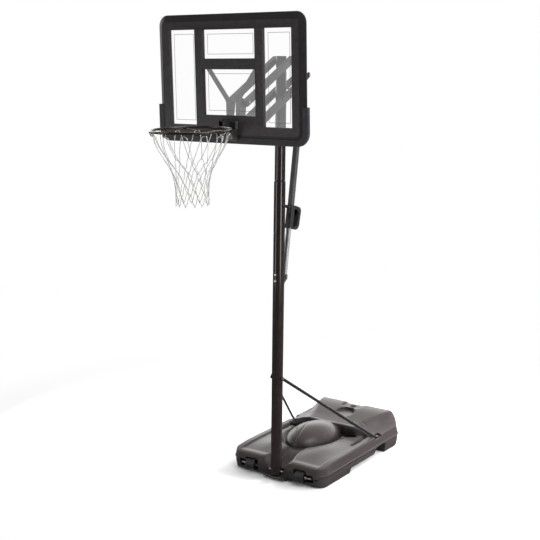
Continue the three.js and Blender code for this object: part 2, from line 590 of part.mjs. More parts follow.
function addStrut() {
  const length = strutTop.distanceTo(strutFoot);
  const tilt = Math.atan2(strutTop.y - strutFoot.y, strutTop.z - strutFoot.z);
  const strut = addGroup();
  strut.position.copy(strutFoot);
  strut.rotation.x = -tilt;            // local +Z runs from the foot pin to the top bolt
  const alongStrut = z => (z - strutFoot.z) / Math.cos(tilt);
  const bottom = alongStrut(HANDLE_BOTTOM_Z), top = alongStrut(HANDLE_TOP_Z);

  add(strut, 'lift_outer_tube', cut(
    squareTube(OUTER_TUBE, bottom, length + 18),
    crossHole(LINK_HOLE_R, 0, length),
    box(-5, 5, -40, -8, bottom + 60, bottom + 96)), MATERIALS.strut);
  // the front slot takes the trigger's tooth over the whole stroke
  add(strut, 'lift_inner_tube', cut(
    squareTube(INNER_TUBE, -14, top + 260),
    crossHole(5.3, 0, 0),
    box(-4.6, 4.6, -20, 0, bottom + 72 - STROKE - 4, bottom + 88)), MATERIALS.galvanised);
  add(strut, 'lift_foot_pin', join(
    bar('x', 4.9, 39.5, [0, 0, 0], 16),
    bar('x', 8, 3, [20.9, 0, 0], 16),
    bar('x', 8, 3, [-20.9, 0, 0], 16)), MATERIALS.zinc);
  add(strut, 'lift_handle', handle(top - bottom), MATERIALS.grip, [0, 0, bottom]);
  add(strut, 'lift_trigger', trigger(), MATERIALS.grip, [0, 0, bottom]);
}

// ---------------------------------------------------------------- backboard
const BOARD_HALF_W = 559, BOARD_BOTTOM = 2345, BOARD_TOP = 3110, BOARD_CORNER = 68;
const BEVEL_IN = 39, BEVEL_BACK = 21, REAR_TAPER = 18;
const PANEL_FRONT_Y = -404.3, PANEL_T = 4, PANEL_INSET = 24;
const RETAINER_FRONT_Y = PANEL_FRONT_Y + PANEL_T + GAP, RETAINER_REAR_Y = BOARD_REAR_Y - 3;
const BUMPER_T = 14, BUMPER_REAR_Y = -397, BUMPER_TOP_Z = 2562;
const V_SCREW_X = 206, V_SCREW_Z = 2810;     // upper end of each V-brace bar
const V_FOOT_Z = 2480;                       // screw at its lower end
// openings: x from, to, z from, to
const WINDOWS = [
  [-466, -258, 2440, 3018], [258, 466, 2440, 3018],
  [-200, 200, 2844, 3016], [-200, 200, 2503, 2779]];

const boardOutline = inset => roundRect(
  -BOARD_HALF_W + inset, BOARD_HALF_W - inset,
  BOARD_BOTTOM + inset, BOARD_TOP - inset, BOARD_CORNER - inset);

// cutters for the openings, each enlarged all round by `grow`
const windowCutters = (grow, corner, y0, y1) => WINDOWS.map(([x0, x1, z0, z1]) =>
  wallXZ(roundRect(x0 - grow, x1 + grow, z0 - grow, z1 + grow, corner), y0, y1, 2));

// board blank enlarged by `grow`, chamfered round the front and tapered towards the rear
function boardBlank(grow) {
  const front = BOARD_FRONT_Y - grow, rear = BOARD_REAR_Y + grow, edge = front + BEVEL_BACK;
  const rearPart = wallXZ(boardOutline(REAR_TAPER - grow), edge, edge + 0.5, 6,
    chamfer(REAR_TAPER, rear - edge - 0.5));
  const frontPart = wallXZ(boardOutline(BEVEL_IN - grow), edge - 0.01, edge + 0.5, 6,
    chamfer(BEVEL_IN, BEVEL_BACK));
  return unite(
    subtract(rearPart, box(-2000, 2000, -2000, edge, 0, 5000)),
    subtract(frontPart, box(-2000, 2000, edge + 0.4, 2000, 0, 5000)));
}

function addBoardPanels(board) {
  add(board, 'backboard_frame', cut(
    boardBlank(0),
    ...windowCutters(0, 4, BOARD_FRONT_Y - 50, BOARD_REAR_Y + 20),
    wallXZ(boardOutline(22), PANEL_FRONT_Y - GAP, BOARD_REAR_Y + 20)), MATERIALS.frame);
  const panelOutline = boardOutline(PANEL_INSET);
  add(board, 'backboard_panel',
    wallXZ(panelOutline, PANEL_FRONT_Y, PANEL_FRONT_Y + PANEL_T, 5), MATERIALS.panel);
  // rear moulding that clamps the panel to the frame
  add(board, 'panel_retainer', cut(
    wallXZ(panelOutline, RETAINER_FRONT_Y, RETAINER_REAR_Y, 5),
    ...windowCutters(8, 6, RETAINER_FRONT_Y - 20, RETAINER_REAR_Y + 20),
    ...[-V_SCREW_X, V_SCREW_X].map(x =>
      bar('y', SMALL_HOLE_R, 40, [x, RETAINER_REAR_Y, V_SCREW_Z]))), MATERIALS.frame);
}

// U-shaped bumper round the lower edge
function addBumper(board) {
  add(board, 'bottom_bumper', cut(
    wallXZ(boardOutline(-BUMPER_T), BOARD_FRONT_Y + 6, BUMPER_REAR_Y),
    wallXZ(boardOutline(25), BOARD_FRONT_Y - 60, BOARD_REAR_Y + 60),
    boardBlank(0.5),
    box(-2000, 2000, -2000, 2000, BUMPER_TOP_Z, 5000)), MATERIALS.bumper);
}

// V-brace bars on the retainer, and the L-shaped plates that carry the front pivots
function addBoardBrackets(board) {
  const { y: lowY, z: lowZ } = frontLowerPivot;
  const { y: highY, z: highZ } = frontUpperPivot;
  const plateY = RETAINER_REAR_Y + 4.6;
  const webOutline = [
    [plateY, 2376], [lowY - 26, 2376], [lowY + 2, 2352], [lowY + 18, lowZ - 10],
    [lowY + 18, lowZ + 12], [lowY + 4, 2440], [highY + 20, highZ - 14],
    [highY + 18, highZ + 12], [highY, highZ + 20], [plateY, 2612]];
  // right-hand bar, [x, z]
  const barOutline = [[22, 2440], [52, 2440], [52, 2585], [222, 2806], [198, 2826], [22, 2600]];
  for (const [side, sign] of SIDES) {
    const screwX = sign * V_SCREW_X;
    const outline = polygon(barOutline.map(([x, z]) => [sign * x, z]));
    add(board, `v_brace_${side}`, cut(
      wallXZ(outline, RETAINER_REAR_Y + GAP, RETAINER_REAR_Y + 4.3),
      bar('y', SMALL_HOLE_R, 40, [sign * 37, RETAINER_REAR_Y, V_FOOT_Z]),
      bar('y', SMALL_HOLE_R, 40, [screwX, RETAINER_REAR_Y, V_SCREW_Z])), MATERIALS.plate);
    const plate = join(
      wallYZ(webOutline, ...sided(sign, 41, 45.5)),
      box(...sided(sign, 20, 45), plateY, plateY + 4, 2376, 2495));
    add(board, `board_bracket_${side}`, cut(
      plate,
      crossHole(PIVOT_HOLE_R, lowY, lowZ),
      crossHole(PIVOT_HOLE_R, highY, highZ),
      bar('y', SMALL_HOLE_R, 40, [sign * 32, plateY, V_FOOT_Z])), MATERIALS.plate);
    add(board, `v_brace_screw_${side}`, join(
      bar('y', 4.2, 14, [screwX, RETAINER_REAR_Y - 1.6, V_SCREW_Z]),
      bar('y', 8, 3.2, [screwX, RETAINER_REAR_Y + 6.4, V_SCREW_Z], 6)), MATERIALS.zinc);
  }
  add(board, 'front_lower_bolt', pivotBolt(lowY, lowZ), MATERIALS.zinc);
  add(board, 'front_upper_bolt', pivotBolt(highY, highZ), MATERIALS.zinc);
}

// ---------------------------------------------------------------- rim
const RIM_Z = 2440, RIM_Y = -796, RIM_R = 236.5, ROD_R = 8;
const HOOD_Z = 2471;
const PLATE_Z = RIM_Z - ROD_R - 4;
const SHELF_Z = PLATE_Z - 6, SHELF_T = 5, SHELF_FRONT_Y = BOARD_FRONT_Y - 66;
const SPRING_X = 38, SPRING_Y = BOARD_FRONT_Y - 34;
const WASHER_Z = 2374, WASHER_T = 2.5;

// fixed bracket on the board: back plates, hood, shelf and two gussets
function addRimBracket() {
  const face = BOARD_FRONT_Y;
  const gusset = [
    [face - 5, 2360], [face - 20, 2366], [SHELF_FRONT_Y + 3, SHELF_Z - 24],
    [SHELF_FRONT_Y + 3, SHELF_Z - 2], [face - 5, SHELF_Z - 2]];
  const body = join(
    box(-62, 62, face - 6.4, face - 0.4, 2352, SHELF_Z + 8),
    box(-66, 66, face - 6.4, face - 0.4, SHELF_Z + 1, HOOD_Z),
    // hood above the shelf: two cheeks and a top lip
    ...pair(62.4, 66, (x0, x1) => box(x0, x1, face - 24, face - 2, SHELF_Z + 1, HOOD_Z)),
    box(-66, 66, face - 24, face - 2, HOOD_Z - 3.6, HOOD_Z),
    box(-62, 62, SHELF_FRONT_Y, face - 0.4, SHELF_Z - SHELF_T, SHELF_Z),
    ...pair(58, 62, (x0, x1) => wallYZ(gusset, x0, x1)));
  add(root, 'rim_bracket', cut(
    body,
    bar('z', 8, 40, [-SPRING_X, SPRING_Y, SHELF_Z], 16),
    bar('z', 8, 40, [SPRING_X, SPRING_Y, SHELF_Z], 16)), MATERIALS.plate);
}

// moving rim: ring, plate, two back arches and twelve net hooks
function rimRing() {
  const face = BOARD_FRONT_Y, plateFrontY = RIM_Y + 218;
  const plate = polygon([
    [-58, face - 7.5], [58, face - 7.5], [66, face - 62],
    [96, plateFrontY], [-96, plateFrontY], [-66, face - 62]]);
  let rim = unite(
    new THREE.TorusGeometry(RIM_R, ROD_R, 6, 36).translate(0, RIM_Y, RIM_Z),
    extrude(plate, 4.5).translate(0, 0, PLATE_Z - 5.4));
  for (const sign of [-1, 1]) {
    const arch = new THREE.CatmullRomCurve3([
      new Vector3(sign * 50, face - 78, PLATE_Z - 8),
      new Vector3(sign * 96, face - 108, PLATE_Z - 14),
      new Vector3(sign * 152, face - 158, PLATE_Z - 9),
      new Vector3(sign * 197, RIM_Y + 128, RIM_Z - 6)]);
    rim = unite(rim, sweep(arch, 5, 5, 6, 4));
    rim = subtract(rim, bar('z', 5.4, 40, [sign * SPRING_X, SPRING_Y, PLATE_Z]));
  }
  const hookCount = 12;
  for (let i = 0; i < hookCount; i++) {
    const angle = i * 2 * Math.PI / hookCount;
    const x = Math.cos(angle) * RIM_R, y = RIM_Y + Math.sin(angle) * RIM_R;
    rim = unite(rim, new THREE.TorusGeometry(8.5, 2.4, 3, 6)
      .rotateX(QUARTER_TURN).rotateZ(angle).translate(x, y, RIM_Z - ROD_R - 6));
  }
  return geometry(rim);
}

// head above the rim plate, washer and nut below the spring
function springBolt(x) {
  const top = PLATE_Z - 0.9 + GAP, bottom = 2372;
  return join(
    bar('z', 5, top - bottom, [x, SPRING_Y, (top + bottom) / 2], 16),
    bar('z', 9.5, 6, [x, SPRING_Y, top + 3], 6),
    bar('z', 15, WASHER_T, [x, SPRING_Y, WASHER_Z], 20),
    bar('z', 9.5, 7, [x, SPRING_Y, 2369.5], 6));
}

// coil spring between the shelf and the washer
function coilSpring(x) {
  const turns = 3.5, coilR = 10.5, wireR = 2.4, endGap = 3.3;
  const bottom = 2375.6 + endGap, top = SHELF_Z - SHELF_T - endGap;
  const intervals = turns * 8;
  const points = Array.from({ length: intervals + 1 }, (_, i) => {
    const t = i / intervals, angle = t * turns * 2 * Math.PI;
    return new Vector3(
      x + coilR * Math.cos(angle), SPRING_Y + coilR * Math.sin(angle),
      bottom + (top - bottom) * t);
  });
  return sweep(new THREE.CatmullRomCurve3(points), wireR, wireR, 24, 3);
}

// net: a funnel, open top and bottom
function netFunnel() {
  const length = 420, topR = 222, bottomR = 101, thickness = 5, bands = 7;
  const top = RIM_Z - ROD_R - 17;
  const outer = Array.from({ length: bands + 1 }, (_, i) => {
    const t = i / bands;
    return [bottomR + (topR - bottomR) * Math.cos(t * QUARTER_TURN) ** 4.6, top - t * length];
  });
  const inner = outer.map(([r, z]) => [r - thickness, z]).reverse();
  return turned(close([...outer, ...inner]).reverse(), 20);
}

function addRim() {
  addRimBracket();
  const movingRim = addGroup();
  add(movingRim, 'rim_ring', rimRing(), MATERIALS.rim);
  for (const [side, sign] of SIDES) {
    const x = sign * SPRING_X;
    add(movingRim, `rim_spring_bolt_${side}`, springBolt(x), MATERIALS.zinc);
    add(root, `rim_spring_${side}`, coilSpring(x), MATERIALS.zinc);
  }
  add(movingRim, 'net', netFunnel(), MATERIALS.net, [0, RIM_Y, 0]);
}

// ---------------------------------------------------------------- assembly
addBaseTank();
addFillCap();
addAxleAndWheels();

const pole = addGroup();
pole.rotation.x = -POLE_LEAN;
addPole(pole);
addBraces(pole);
addLiftBracket(pole);
addPolePivots(pole);

addArms();
addYoke();
addStrut();

const board = addGroup();
addBoardPanels(board);
addBumper(board);
addBoardBrackets(board);
addRim();

export default root;
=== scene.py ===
"""A basketball stand: a base tank on two wheels, a leaning pole with a lift, a backboard, rim and net.

The ground is z = 0 and the stand is centred on x = 0. -Y is the front, where the rim hangs, and
the tank reaches back to y = 1.095 m. -X is left, so a side factor k is -1 left and 1 right.
Scene lengths are metres. Sizes and tables are mm, save bevel widths and where a comment says so.
"""
import math
import random
from math import cos, pi, sin
import bpy
import bmesh
import numpy as np
from mathutils import Matrix, Vector

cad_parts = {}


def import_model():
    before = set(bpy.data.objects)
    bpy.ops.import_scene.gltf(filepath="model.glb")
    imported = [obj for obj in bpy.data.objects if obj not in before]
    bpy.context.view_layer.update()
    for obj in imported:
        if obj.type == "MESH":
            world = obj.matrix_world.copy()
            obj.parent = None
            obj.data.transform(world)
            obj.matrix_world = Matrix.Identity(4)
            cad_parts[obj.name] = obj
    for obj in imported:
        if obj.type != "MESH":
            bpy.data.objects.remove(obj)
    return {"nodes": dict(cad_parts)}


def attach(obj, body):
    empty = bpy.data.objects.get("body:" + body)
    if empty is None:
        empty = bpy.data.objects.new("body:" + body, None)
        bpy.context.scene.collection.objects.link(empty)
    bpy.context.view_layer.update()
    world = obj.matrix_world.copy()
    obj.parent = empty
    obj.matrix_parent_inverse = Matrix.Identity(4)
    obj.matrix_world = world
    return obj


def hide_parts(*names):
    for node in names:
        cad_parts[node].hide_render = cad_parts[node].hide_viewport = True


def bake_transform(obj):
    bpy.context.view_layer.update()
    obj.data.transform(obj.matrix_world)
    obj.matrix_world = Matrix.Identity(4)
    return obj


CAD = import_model()["nodes"]
MM = 0.001
SIDES = (("left", -1), ("right", 1))
random.seed(7)


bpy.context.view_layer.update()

# ------------------------------------------------------------------ driving sizes
LEAN = 0.04587                         # radians, the pole's top leans back
POLE_M = Matrix.Rotation(-LEAN, 4, "X")
POLE_R, POLE_WALL = 38.0, 2.5
BRACE_S = 714                          # heights along the pole
BRACKET_BOLTS = {"upper": 1424, "lower": 1383}

AXLE_Y, AXLE_Z = 2.75, 60
WHEEL_X = 206
FILLER_Y = 1010
BRACE_FOOT_X, BRACE_FOOT_Y = 357, 756  # bolt through each brace foot and the deck

BOARD_FRONT, BOARD_BACK = -428.6, -386.6
BOARD_W, BOARD_BOTTOM, BOARD_TOP = 1118.0, 2345, 3110
BOARD_CORNER = 68
WINDOWS = [  # x0, x1, z0, z1
    (-466, -258, 2440, 3018), (258, 466, 2440, 3018),
    (-200, 200, 2844, 3016), (-200, 200, 2503, 2779),
]

RIM_Y, RIM_Z = -796.0, 2440.0
RIM_R, RIM_ROD = 236.5, 8.0            # ring radius and the radius of its rod
HOOKS = 12
HOOK_Z, HOOK_R = RIM_Z - RIM_ROD - 6, 8.5
SPRING_X, SPRING_Y = 38.0, BOARD_FRONT - 34


# ------------------------------------------------------------------ shader graphs
class Graph:
    """A node tree with short ways to add, feed and link nodes."""

    def __init__(self, owner):
        owner.use_nodes = True
        self.tree = owner.node_tree
        self.tree.nodes.clear()

    def feed(self, socket, value):
        """link the socket to another, or set its value"""
        if isinstance(value, bpy.types.NodeSocket):
            self.tree.links.new(value, socket)
        else:
            socket.default_value = value

    def node(self, kind, inputs=None, **settings):
        node = self.tree.nodes.new("ShaderNode" + kind)
        for name, value in settings.items():
            setattr(node, name, value)
        for key, value in (inputs or {}).items():
            self.feed(node.inputs[key], value)
        return node

    def noise(self, vector, scale, detail, roughness=0.5):
        inputs = {"Vector": vector, "Scale": scale, "Detail": detail, "Roughness": roughness}
        return self.node("TexNoise", inputs).outputs["Fac"]

    def ramp(self, factor, *stops):
        node = self.node("ValToRGB", {"Fac": factor})
        elements = node.color_ramp.elements
        while len(elements) > 1:
            elements.remove(elements[-1])
        elements[0].position, elements[0].color = stops[0]
        for position, color in stops[1:]:
            elements.new(position).color = color
        return node.outputs["Color"]

    def math(self, operation, *values, clamp=False):
        inputs = dict(enumerate(values))
        return self.node("Math", inputs, operation=operation, use_clamp=clamp).outputs[0]

    def mix(self, factor, a, b, blend="MIX"):
        """mix two colours; 6, 7 and output 2 are the node's colour sockets"""
        node = self.node("Mix", data_type="RGBA", blend_type=blend, clamp_factor=True)
        for key, value in ((0, factor), (6, a), (7, b)):
            self.feed(node.inputs[key], value)
        return node.outputs[2]

    def mix_shaders(self, factor, first, second):
        return self.node("MixShader", {0: factor, 1: first, 2: second}).outputs[0]

    def emission(self, color):
        return self.node("Emission", {"Color": color, "Strength": 1.0}).outputs[0]

    def bump(self, height, strength, distance):
        inputs = {"Height": height, "Strength": strength, "Distance": distance}
        return self.node("Bump", inputs).outputs[0]


def grey(value):
    return (value, value, value, 1)


def new_material(name):
    material = bpy.data.materials.new(name)
    return material, Graph(material)


# ------------------------------------------------------------------ materials
def surface(name, base, *, var, rough, rough_var, bump, grain, patch, bump_depth=0.0004,
            metal=0.0, spec=0.5, coat=0.0, coat_rough=0.15, streak=None, crease_shade=0.0,
            dust_and_top_light=0.0, dust_and_top_light_color=(0.5, 0.48, 0.45, 1), wear_and_edge_highlight=0.0, wear_and_highlight_color=None):
    """Painted, moulded or plated finish.

    var and rough_var spread the colour and roughness in patches; patch and grain are noise
    scales; streak scales a noise into marks along z; the dust setting lightens upward faces,
    as dust and as painted light on the lit tops; the wear setting lightens edges, as wear and
    as painted edge highlights; an occlusion-driven setting paints shade into creases and hollows.
    """
    material, g = new_material(name)
    geometry = g.node("NewGeometry").outputs
    position = geometry["Position"]
    big = g.noise(position, scale=patch, detail=5.0, roughness=0.6)
    fine = g.noise(position, scale=grain, detail=3.0, roughness=0.55)
    mid = g.noise(position, scale=patch * 7.0, detail=4.0, roughness=0.7)

    dark = (*(c * (1.0 - var) for c in base), 1)
    light = (*(min(1, c * (1.0 + var)) for c in base), 1)
    color = g.ramp(big, (0.3, dark), (0.7, light))
    mottle = g.ramp(mid, (0.3, grey(0.88)), (0.7, grey(1.1)))
    color = g.mix(1.0, color, mottle, "MULTIPLY")
    if streak:
        stretched = g.node("Mapping", {"Vector": position, "Scale": streak}).outputs[0]
        marks = g.noise(stretched, scale=1.0, detail=3.0)
        marks = g.ramp(marks, (0.35, grey(0.85)), (0.65, grey(1.12)))
        color = g.mix(1.0, color, marks, "MULTIPLY")
    # lightens upward faces: real dust, and painted light where tops catch the lamps
    if dust_and_top_light > 0:
        normal = g.node("SeparateXYZ", {0: geometry["Normal"]}).outputs
        upward = g.math("POWER", g.math("MAXIMUM", normal["Z"], 0.0), 2.0)
        patches = g.math("MULTIPLY", mid, dust_and_top_light * 1.6)
        color = g.mix(g.math("MULTIPLY", upward, patches, clamp=True), color, dust_and_top_light_color)
    # lightens convex edges: real wear, and painted highlight lines where edges catch the light
    if wear_and_edge_highlight > 0:
        edge = g.math("SUBTRACT", geometry["Pointiness"], 0.52)
        edge = g.math("MULTIPLY", edge, 14.0, clamp=True)
        patches = g.math("MULTIPLY", mid, wear_and_edge_highlight * 1.7)
        color = g.mix(g.math("MULTIPLY", edge, patches, clamp=True), color, wear_and_highlight_color)
    specular = spec
    # painted shade: an occlusion pass darkens the colour and weakens the specular in creases and
    # hollows
    if crease_shade > 0:
        occlusion = g.node("AmbientOcclusion", {"Distance": 0.15}, samples=6, only_local=True)
        openness = g.math("POWER", occlusion.outputs["AO"], crease_shade, clamp=True)
        crease_shade_color = (base[0] * 0.12, base[1] * 0.11, base[2] * 0.11, 1)
        color = g.mix(openness, crease_shade_color, color)
        specular = g.math("MULTIPLY", openness, spec)

    shader = g.node("BsdfPrincipled", {
        "Base Color": color,
        "Roughness": g.math("MULTIPLY_ADD", mid, 2 * rough_var, rough - rough_var, clamp=True),
        "Metallic": metal,
        "Coat Weight": coat,
        "Coat Roughness": coat_rough,
        "Normal": g.bump(fine, strength=bump, distance=bump_depth),
    })
    # the plain value stays under the link
    shader.inputs["Specular IOR Level"].default_value = spec
    g.feed(shader.inputs["Specular IOR Level"], specular)
    g.node("OutputMaterial", {0: shader.outputs[0]})
    return material


def cord_material():
    """off-white net cord, with painted shade in the grooves between its strands"""
    material, g = new_material("net_cord")
    geometry = g.node("NewGeometry").outputs
    patches = g.noise(geometry["Position"], scale=28.0, detail=4.0)
    fibres = g.noise(geometry["Position"], scale=1800.0, detail=3.0)
    color = g.ramp(patches, (0.3, (0.50, 0.49, 0.48, 1)), (0.7, (0.66, 0.65, 0.64, 1)))
    # painted shade: the hollows between the strands are darkened
    groove_shade = g.ramp(geometry["Pointiness"], (0.42, (0.55, 0.53, 0.52, 1)), (0.52, grey(1)))
    shader = g.node("BsdfPrincipled", {
        "Base Color": g.mix(0.8, color, groove_shade, "MULTIPLY"),
        "Roughness": g.math("MULTIPLY_ADD", fibres, 0.2, 0.7),
        "Sheen Weight": 0.25,
        "Normal": g.bump(fibres, strength=0.5, distance=0.0005),
    })
    g.node("OutputMaterial", {0: shader.outputs[0]})
    return material


def panel_material():
    """clear sheet: a faint white veil painted as glow, and a weak reflection; shadow rays pass through
    """
    material, g = new_material("clear_panel")
    position = g.node("NewGeometry").outputs["Position"]
    noise = g.noise(position, scale=3.0, detail=4.0)
    clear = g.node("BsdfTransparent", {0: grey(0.993)}).outputs[0]
    gloss_rough = g.math("MULTIPLY_ADD", noise, 0.05, 0.02)
    gloss = g.node("BsdfGlossy", {"Color": grey(1), "Roughness": gloss_rough}).outputs[0]
    # painted glow: a share of white emission gives the sheet a faint haze
    glow_veil_share = g.math("MULTIPLY_ADD", noise, 0.05, 0.06)
    sheet = g.mix_shaders(glow_veil_share, clear, g.emission(grey(1.0)))
    fresnel = g.node("Fresnel", {"IOR": 1.35}).outputs[0]
    sheet = g.mix_shaders(g.math("MULTIPLY", fresnel, 0.16, clamp=True), sheet, gloss)
    is_shadow = g.node("LightPath").outputs["Is Shadow Ray"]
    shadow = g.node("BsdfTransparent", {0: grey(0.95)}).outputs[0]
    g.node("OutputMaterial", {0: g.mix_shaders(is_shadow, sheet, shadow)})
    return material


# tank plastic with painted shade in its creases and a little painted light on its upward faces
M_TANK = surface(
    "tank_plastic", (0.043, 0.0354, 0.0354), crease_shade=1.3, var=0.10, rough=0.33, rough_var=0.07,
    bump=0.22, grain=420, patch=5.0, spec=0.55, dust_and_top_light=0.05, dust_and_top_light_color=(0.22, 0.21, 0.205, 1),
    wear_and_edge_highlight=0.25, wear_and_highlight_color=(0.16, 0.15, 0.15, 1))
M_BLACK = surface(
    "black_plastic", (0.012, 0.012, 0.013), var=0.25, rough=0.42, rough_var=0.10,
    bump=0.3, grain=900, patch=20, dust_and_top_light=0.05, wear_and_edge_highlight=0.2, wear_and_highlight_color=(0.08, 0.08, 0.08, 1))
M_WHEEL = surface(
    "wheel_plastic", (0.014, 0.014, 0.015), var=0.3, rough=0.5, rough_var=0.12,
    bump=0.4, grain=700, patch=25, dust_and_top_light=0.12, dust_and_top_light_color=(0.25, 0.23, 0.2, 1),
    wear_and_edge_highlight=0.4, wear_and_highlight_color=(0.10, 0.10, 0.10, 1))
M_POLE = surface(
    "pole_paint", (0.0150, 0.0090, 0.0092), var=0.05, rough=0.2, rough_var=0.025,
    bump=0.04, grain=260, patch=2.2, spec=0.6, coat=0.5, coat_rough=0.08,
    wear_and_edge_highlight=0.15, wear_and_highlight_color=(0.12, 0.10, 0.09, 1), bump_depth=0.0006)
M_ARM = surface(
    "arm_paint", (0.018, 0.0165, 0.017), var=0.15, rough=0.28, rough_var=0.07,
    bump=0.10, grain=320, patch=14, spec=0.6, coat=0.3, coat_rough=0.12,
    wear_and_edge_highlight=0.25, wear_and_highlight_color=(0.14, 0.13, 0.12, 1))
M_STRUT = surface(
    "strut_paint", (0.062, 0.060, 0.062), var=0.12, rough=0.33, rough_var=0.08, metal=0.2,
    bump=0.10, grain=320, patch=14, wear_and_edge_highlight=0.2, wear_and_highlight_color=(0.2, 0.2, 0.2, 1))
M_ZINC = surface(
    "zinc", (0.62, 0.62, 0.63), var=0.12, rough=0.3, rough_var=0.12, metal=0.9,
    bump=0.2, grain=1200, patch=60, wear_and_edge_highlight=0.2, wear_and_highlight_color=(0.3, 0.28, 0.25, 1))
M_GALV = surface(
    "galvanised", (0.30, 0.31, 0.305), var=0.14, rough=0.42, rough_var=0.12, metal=0.35,
    bump=0.15, grain=500, patch=35, streak=(320.0, 320.0, 9.0))
# board plastic; its edge lightening is mostly painted highlight lines along the bevels
M_FRAME = surface(
    "board_plastic", (0.031, 0.0262, 0.0282), var=0.08, rough=0.44, rough_var=0.06,
    bump=0.20, grain=700, patch=4, spec=0.45, wear_and_edge_highlight=0.45, wear_and_highlight_color=(0.22, 0.21, 0.21, 1))
M_BUMPER = surface(
    "bumper_plastic", (0.030, 0.0275, 0.031), var=0.10, rough=0.5, rough_var=0.07,
    bump=0.3, grain=600, patch=7, spec=0.45, wear_and_edge_highlight=0.3, wear_and_highlight_color=(0.17, 0.16, 0.17, 1))
# rim paint; its edge lightening is a painted highlight along the top edge
M_RIM = surface(
    "rim_paint", (0.022, 0.0135, 0.012), var=0.18, rough=0.27, rough_var=0.08,
    bump=0.12, grain=420, patch=18, spec=0.6, coat=0.4, coat_rough=0.12,
    wear_and_edge_highlight=0.12, wear_and_highlight_color=(0.12, 0.09, 0.085, 1))
M_PLATE = surface(
    "plate_paint", (0.030, 0.026, 0.026), var=0.15, rough=0.33, rough_var=0.08,
    bump=0.10, grain=380, patch=14, spec=0.55, wear_and_edge_highlight=0.3, wear_and_highlight_color=(0.2, 0.19, 0.18, 1))
# bracket paint; its strong edge lightening is painted highlight along the hood's edges
M_BRACKET = surface(
    "bracket_paint", (0.015, 0.0108, 0.0105), var=0.15, rough=0.30, rough_var=0.08,
    bump=0.10, grain=380, patch=14, wear_and_edge_highlight=0.5, wear_and_highlight_color=(0.26, 0.24, 0.24, 1))
M_LINE = surface(
    "panel_line", (0.30, 0.30, 0.31), var=0.06, rough=0.5, rough_var=0.05,
    bump=0.1, grain=900, patch=9)
M_NET = cord_material()
M_PANEL = panel_material()


# ------------------------------------------------------------------ mesh helpers
def link_object(name, data):
    obj = bpy.data.objects.new(name, data)
    bpy.context.scene.collection.objects.link(obj)
    return obj


def shade(obj, angle):
    """smooth shading with edges sharp above an angle in degrees"""
    mesh = obj.data
    mesh.polygons.foreach_set("use_smooth", [True] * len(mesh.polygons))
    mesh.set_sharp_from_angle(angle=math.radians(angle))
    mesh.update()


def mesh_object(name, vertices, faces, shade_angle=None):
    """object from vertices in metres, its normals facing out"""
    mesh = bpy.data.meshes.new(name)
    mesh.from_pydata([tuple(v) for v in vertices], [], faces)
    mesh.update()
    obj = link_object(name, mesh)
    bm = bmesh.new()
    bm.from_mesh(mesh)
    bmesh.ops.recalc_face_normals(bm, faces=bm.faces)
    bm.to_mesh(mesh)
    bm.free()
    if shade_angle:
        shade(obj, shade_angle)
    return obj


def bake(obj):
    """replace the mesh with the evaluated one, modifiers applied"""
    bpy.context.view_layer.update()
    depsgraph = bpy.context.evaluated_depsgraph_get()
    mesh = bpy.data.meshes.new_from_object(obj.evaluated_get(depsgraph))
    materials = list(obj.data.materials)
    obj.modifiers.clear()
    obj.data = mesh
    mesh.materials.clear()
    for material in materials:
        mesh.materials.append(material)


def boolean(obj, tool, operation="DIFFERENCE"):
    """cut or join with a tool object, which is used up"""
    modifier = obj.modifiers.new("boolean", "BOOLEAN")
    modifier.operation = operation
    modifier.object = tool
    modifier.solver = "MANIFOLD"
    bake(obj)
    bpy.data.objects.remove(tool)


def bevel(obj, width, segments, angle):
    modifier = obj.modifiers.new("bevel", "BEVEL")
    modifier.width = width
    modifier.segments = segments
    modifier.limit_method = "ANGLE"
    modifier.angle_limit = math.radians(angle)
    modifier.use_clamp_overlap = True
    modifier.miter_outer = "MITER_ARC"
    bake(obj)


def clean(obj, dissolve, distance=1e-6):
    """merge doubled vertices and dissolve flat edges up to an angle in degrees"""
    bm = bmesh.new()
    bm.from_mesh(obj.data)
    bmesh.ops.remove_doubles(bm, verts=bm.verts, dist=distance)
    if dissolve:
        bmesh.ops.dissolve_limit(bm, angle_limit=math.radians(dissolve),
                                 verts=bm.verts, edges=bm.edges)
    bmesh.ops.recalc_face_normals(bm, faces=bm.faces)
    bm.to_mesh(obj.data)
    bm.free()


def skin(rings, count, closed=False):
    """quads between successive rings of count points"""
    faces = []
    for i in range(rings if closed else rings - 1):
        here, there = i * count, (i + 1) % rings * count
        for j in range(count):
            k = (j + 1) % count
            faces.append((here + j, here + k, there + k, there + j))
    return faces


def end_caps(rings, count):
    total = rings * count
    return [tuple(range(count)), tuple(range(total - count, total))[::-1]]


def box(x0, x1, y0, y1, z0, z1):
    corners = [(x * MM, y * MM, z * MM) for x in (x0, x1) for y in (y0, y1) for z in (z0, z1)]
    faces = [(0, 1, 3, 2), (4, 6, 7, 5), (0, 4, 5, 1), (2, 3, 7, 6), (0, 2, 6, 4), (1, 5, 7, 3)]
    return mesh_object("box", corners, faces)


def prism(points, start, end, axis):
    """polygon extruded along x, y or z; the points hold the other two coordinates in order"""
    vertices = []
    for a in (start, end):
        for p, q in points:
            place = {"x": (a, p, q), "y": (p, a, q), "z": (p, q, a)}[axis]
            vertices.append([c * MM for c in place])
    count = len(points)
    return mesh_object("prism", vertices, end_caps(2, count) + skin(2, count))


def cylinder(axis, radius, length, center, seg=32):
    angles = [2 * pi * i / seg for i in range(seg)]
    circle = [(radius * cos(a), radius * sin(a)) for a in angles]
    if axis == "y":
        circle = [(q, p) for p, q in circle]
    across = list(center)
    middle = across.pop("xyz".index(axis))
    points = [(p + across[0], q + across[1]) for p, q in circle]
    return prism(points, middle - length / 2, middle + length / 2, axis)


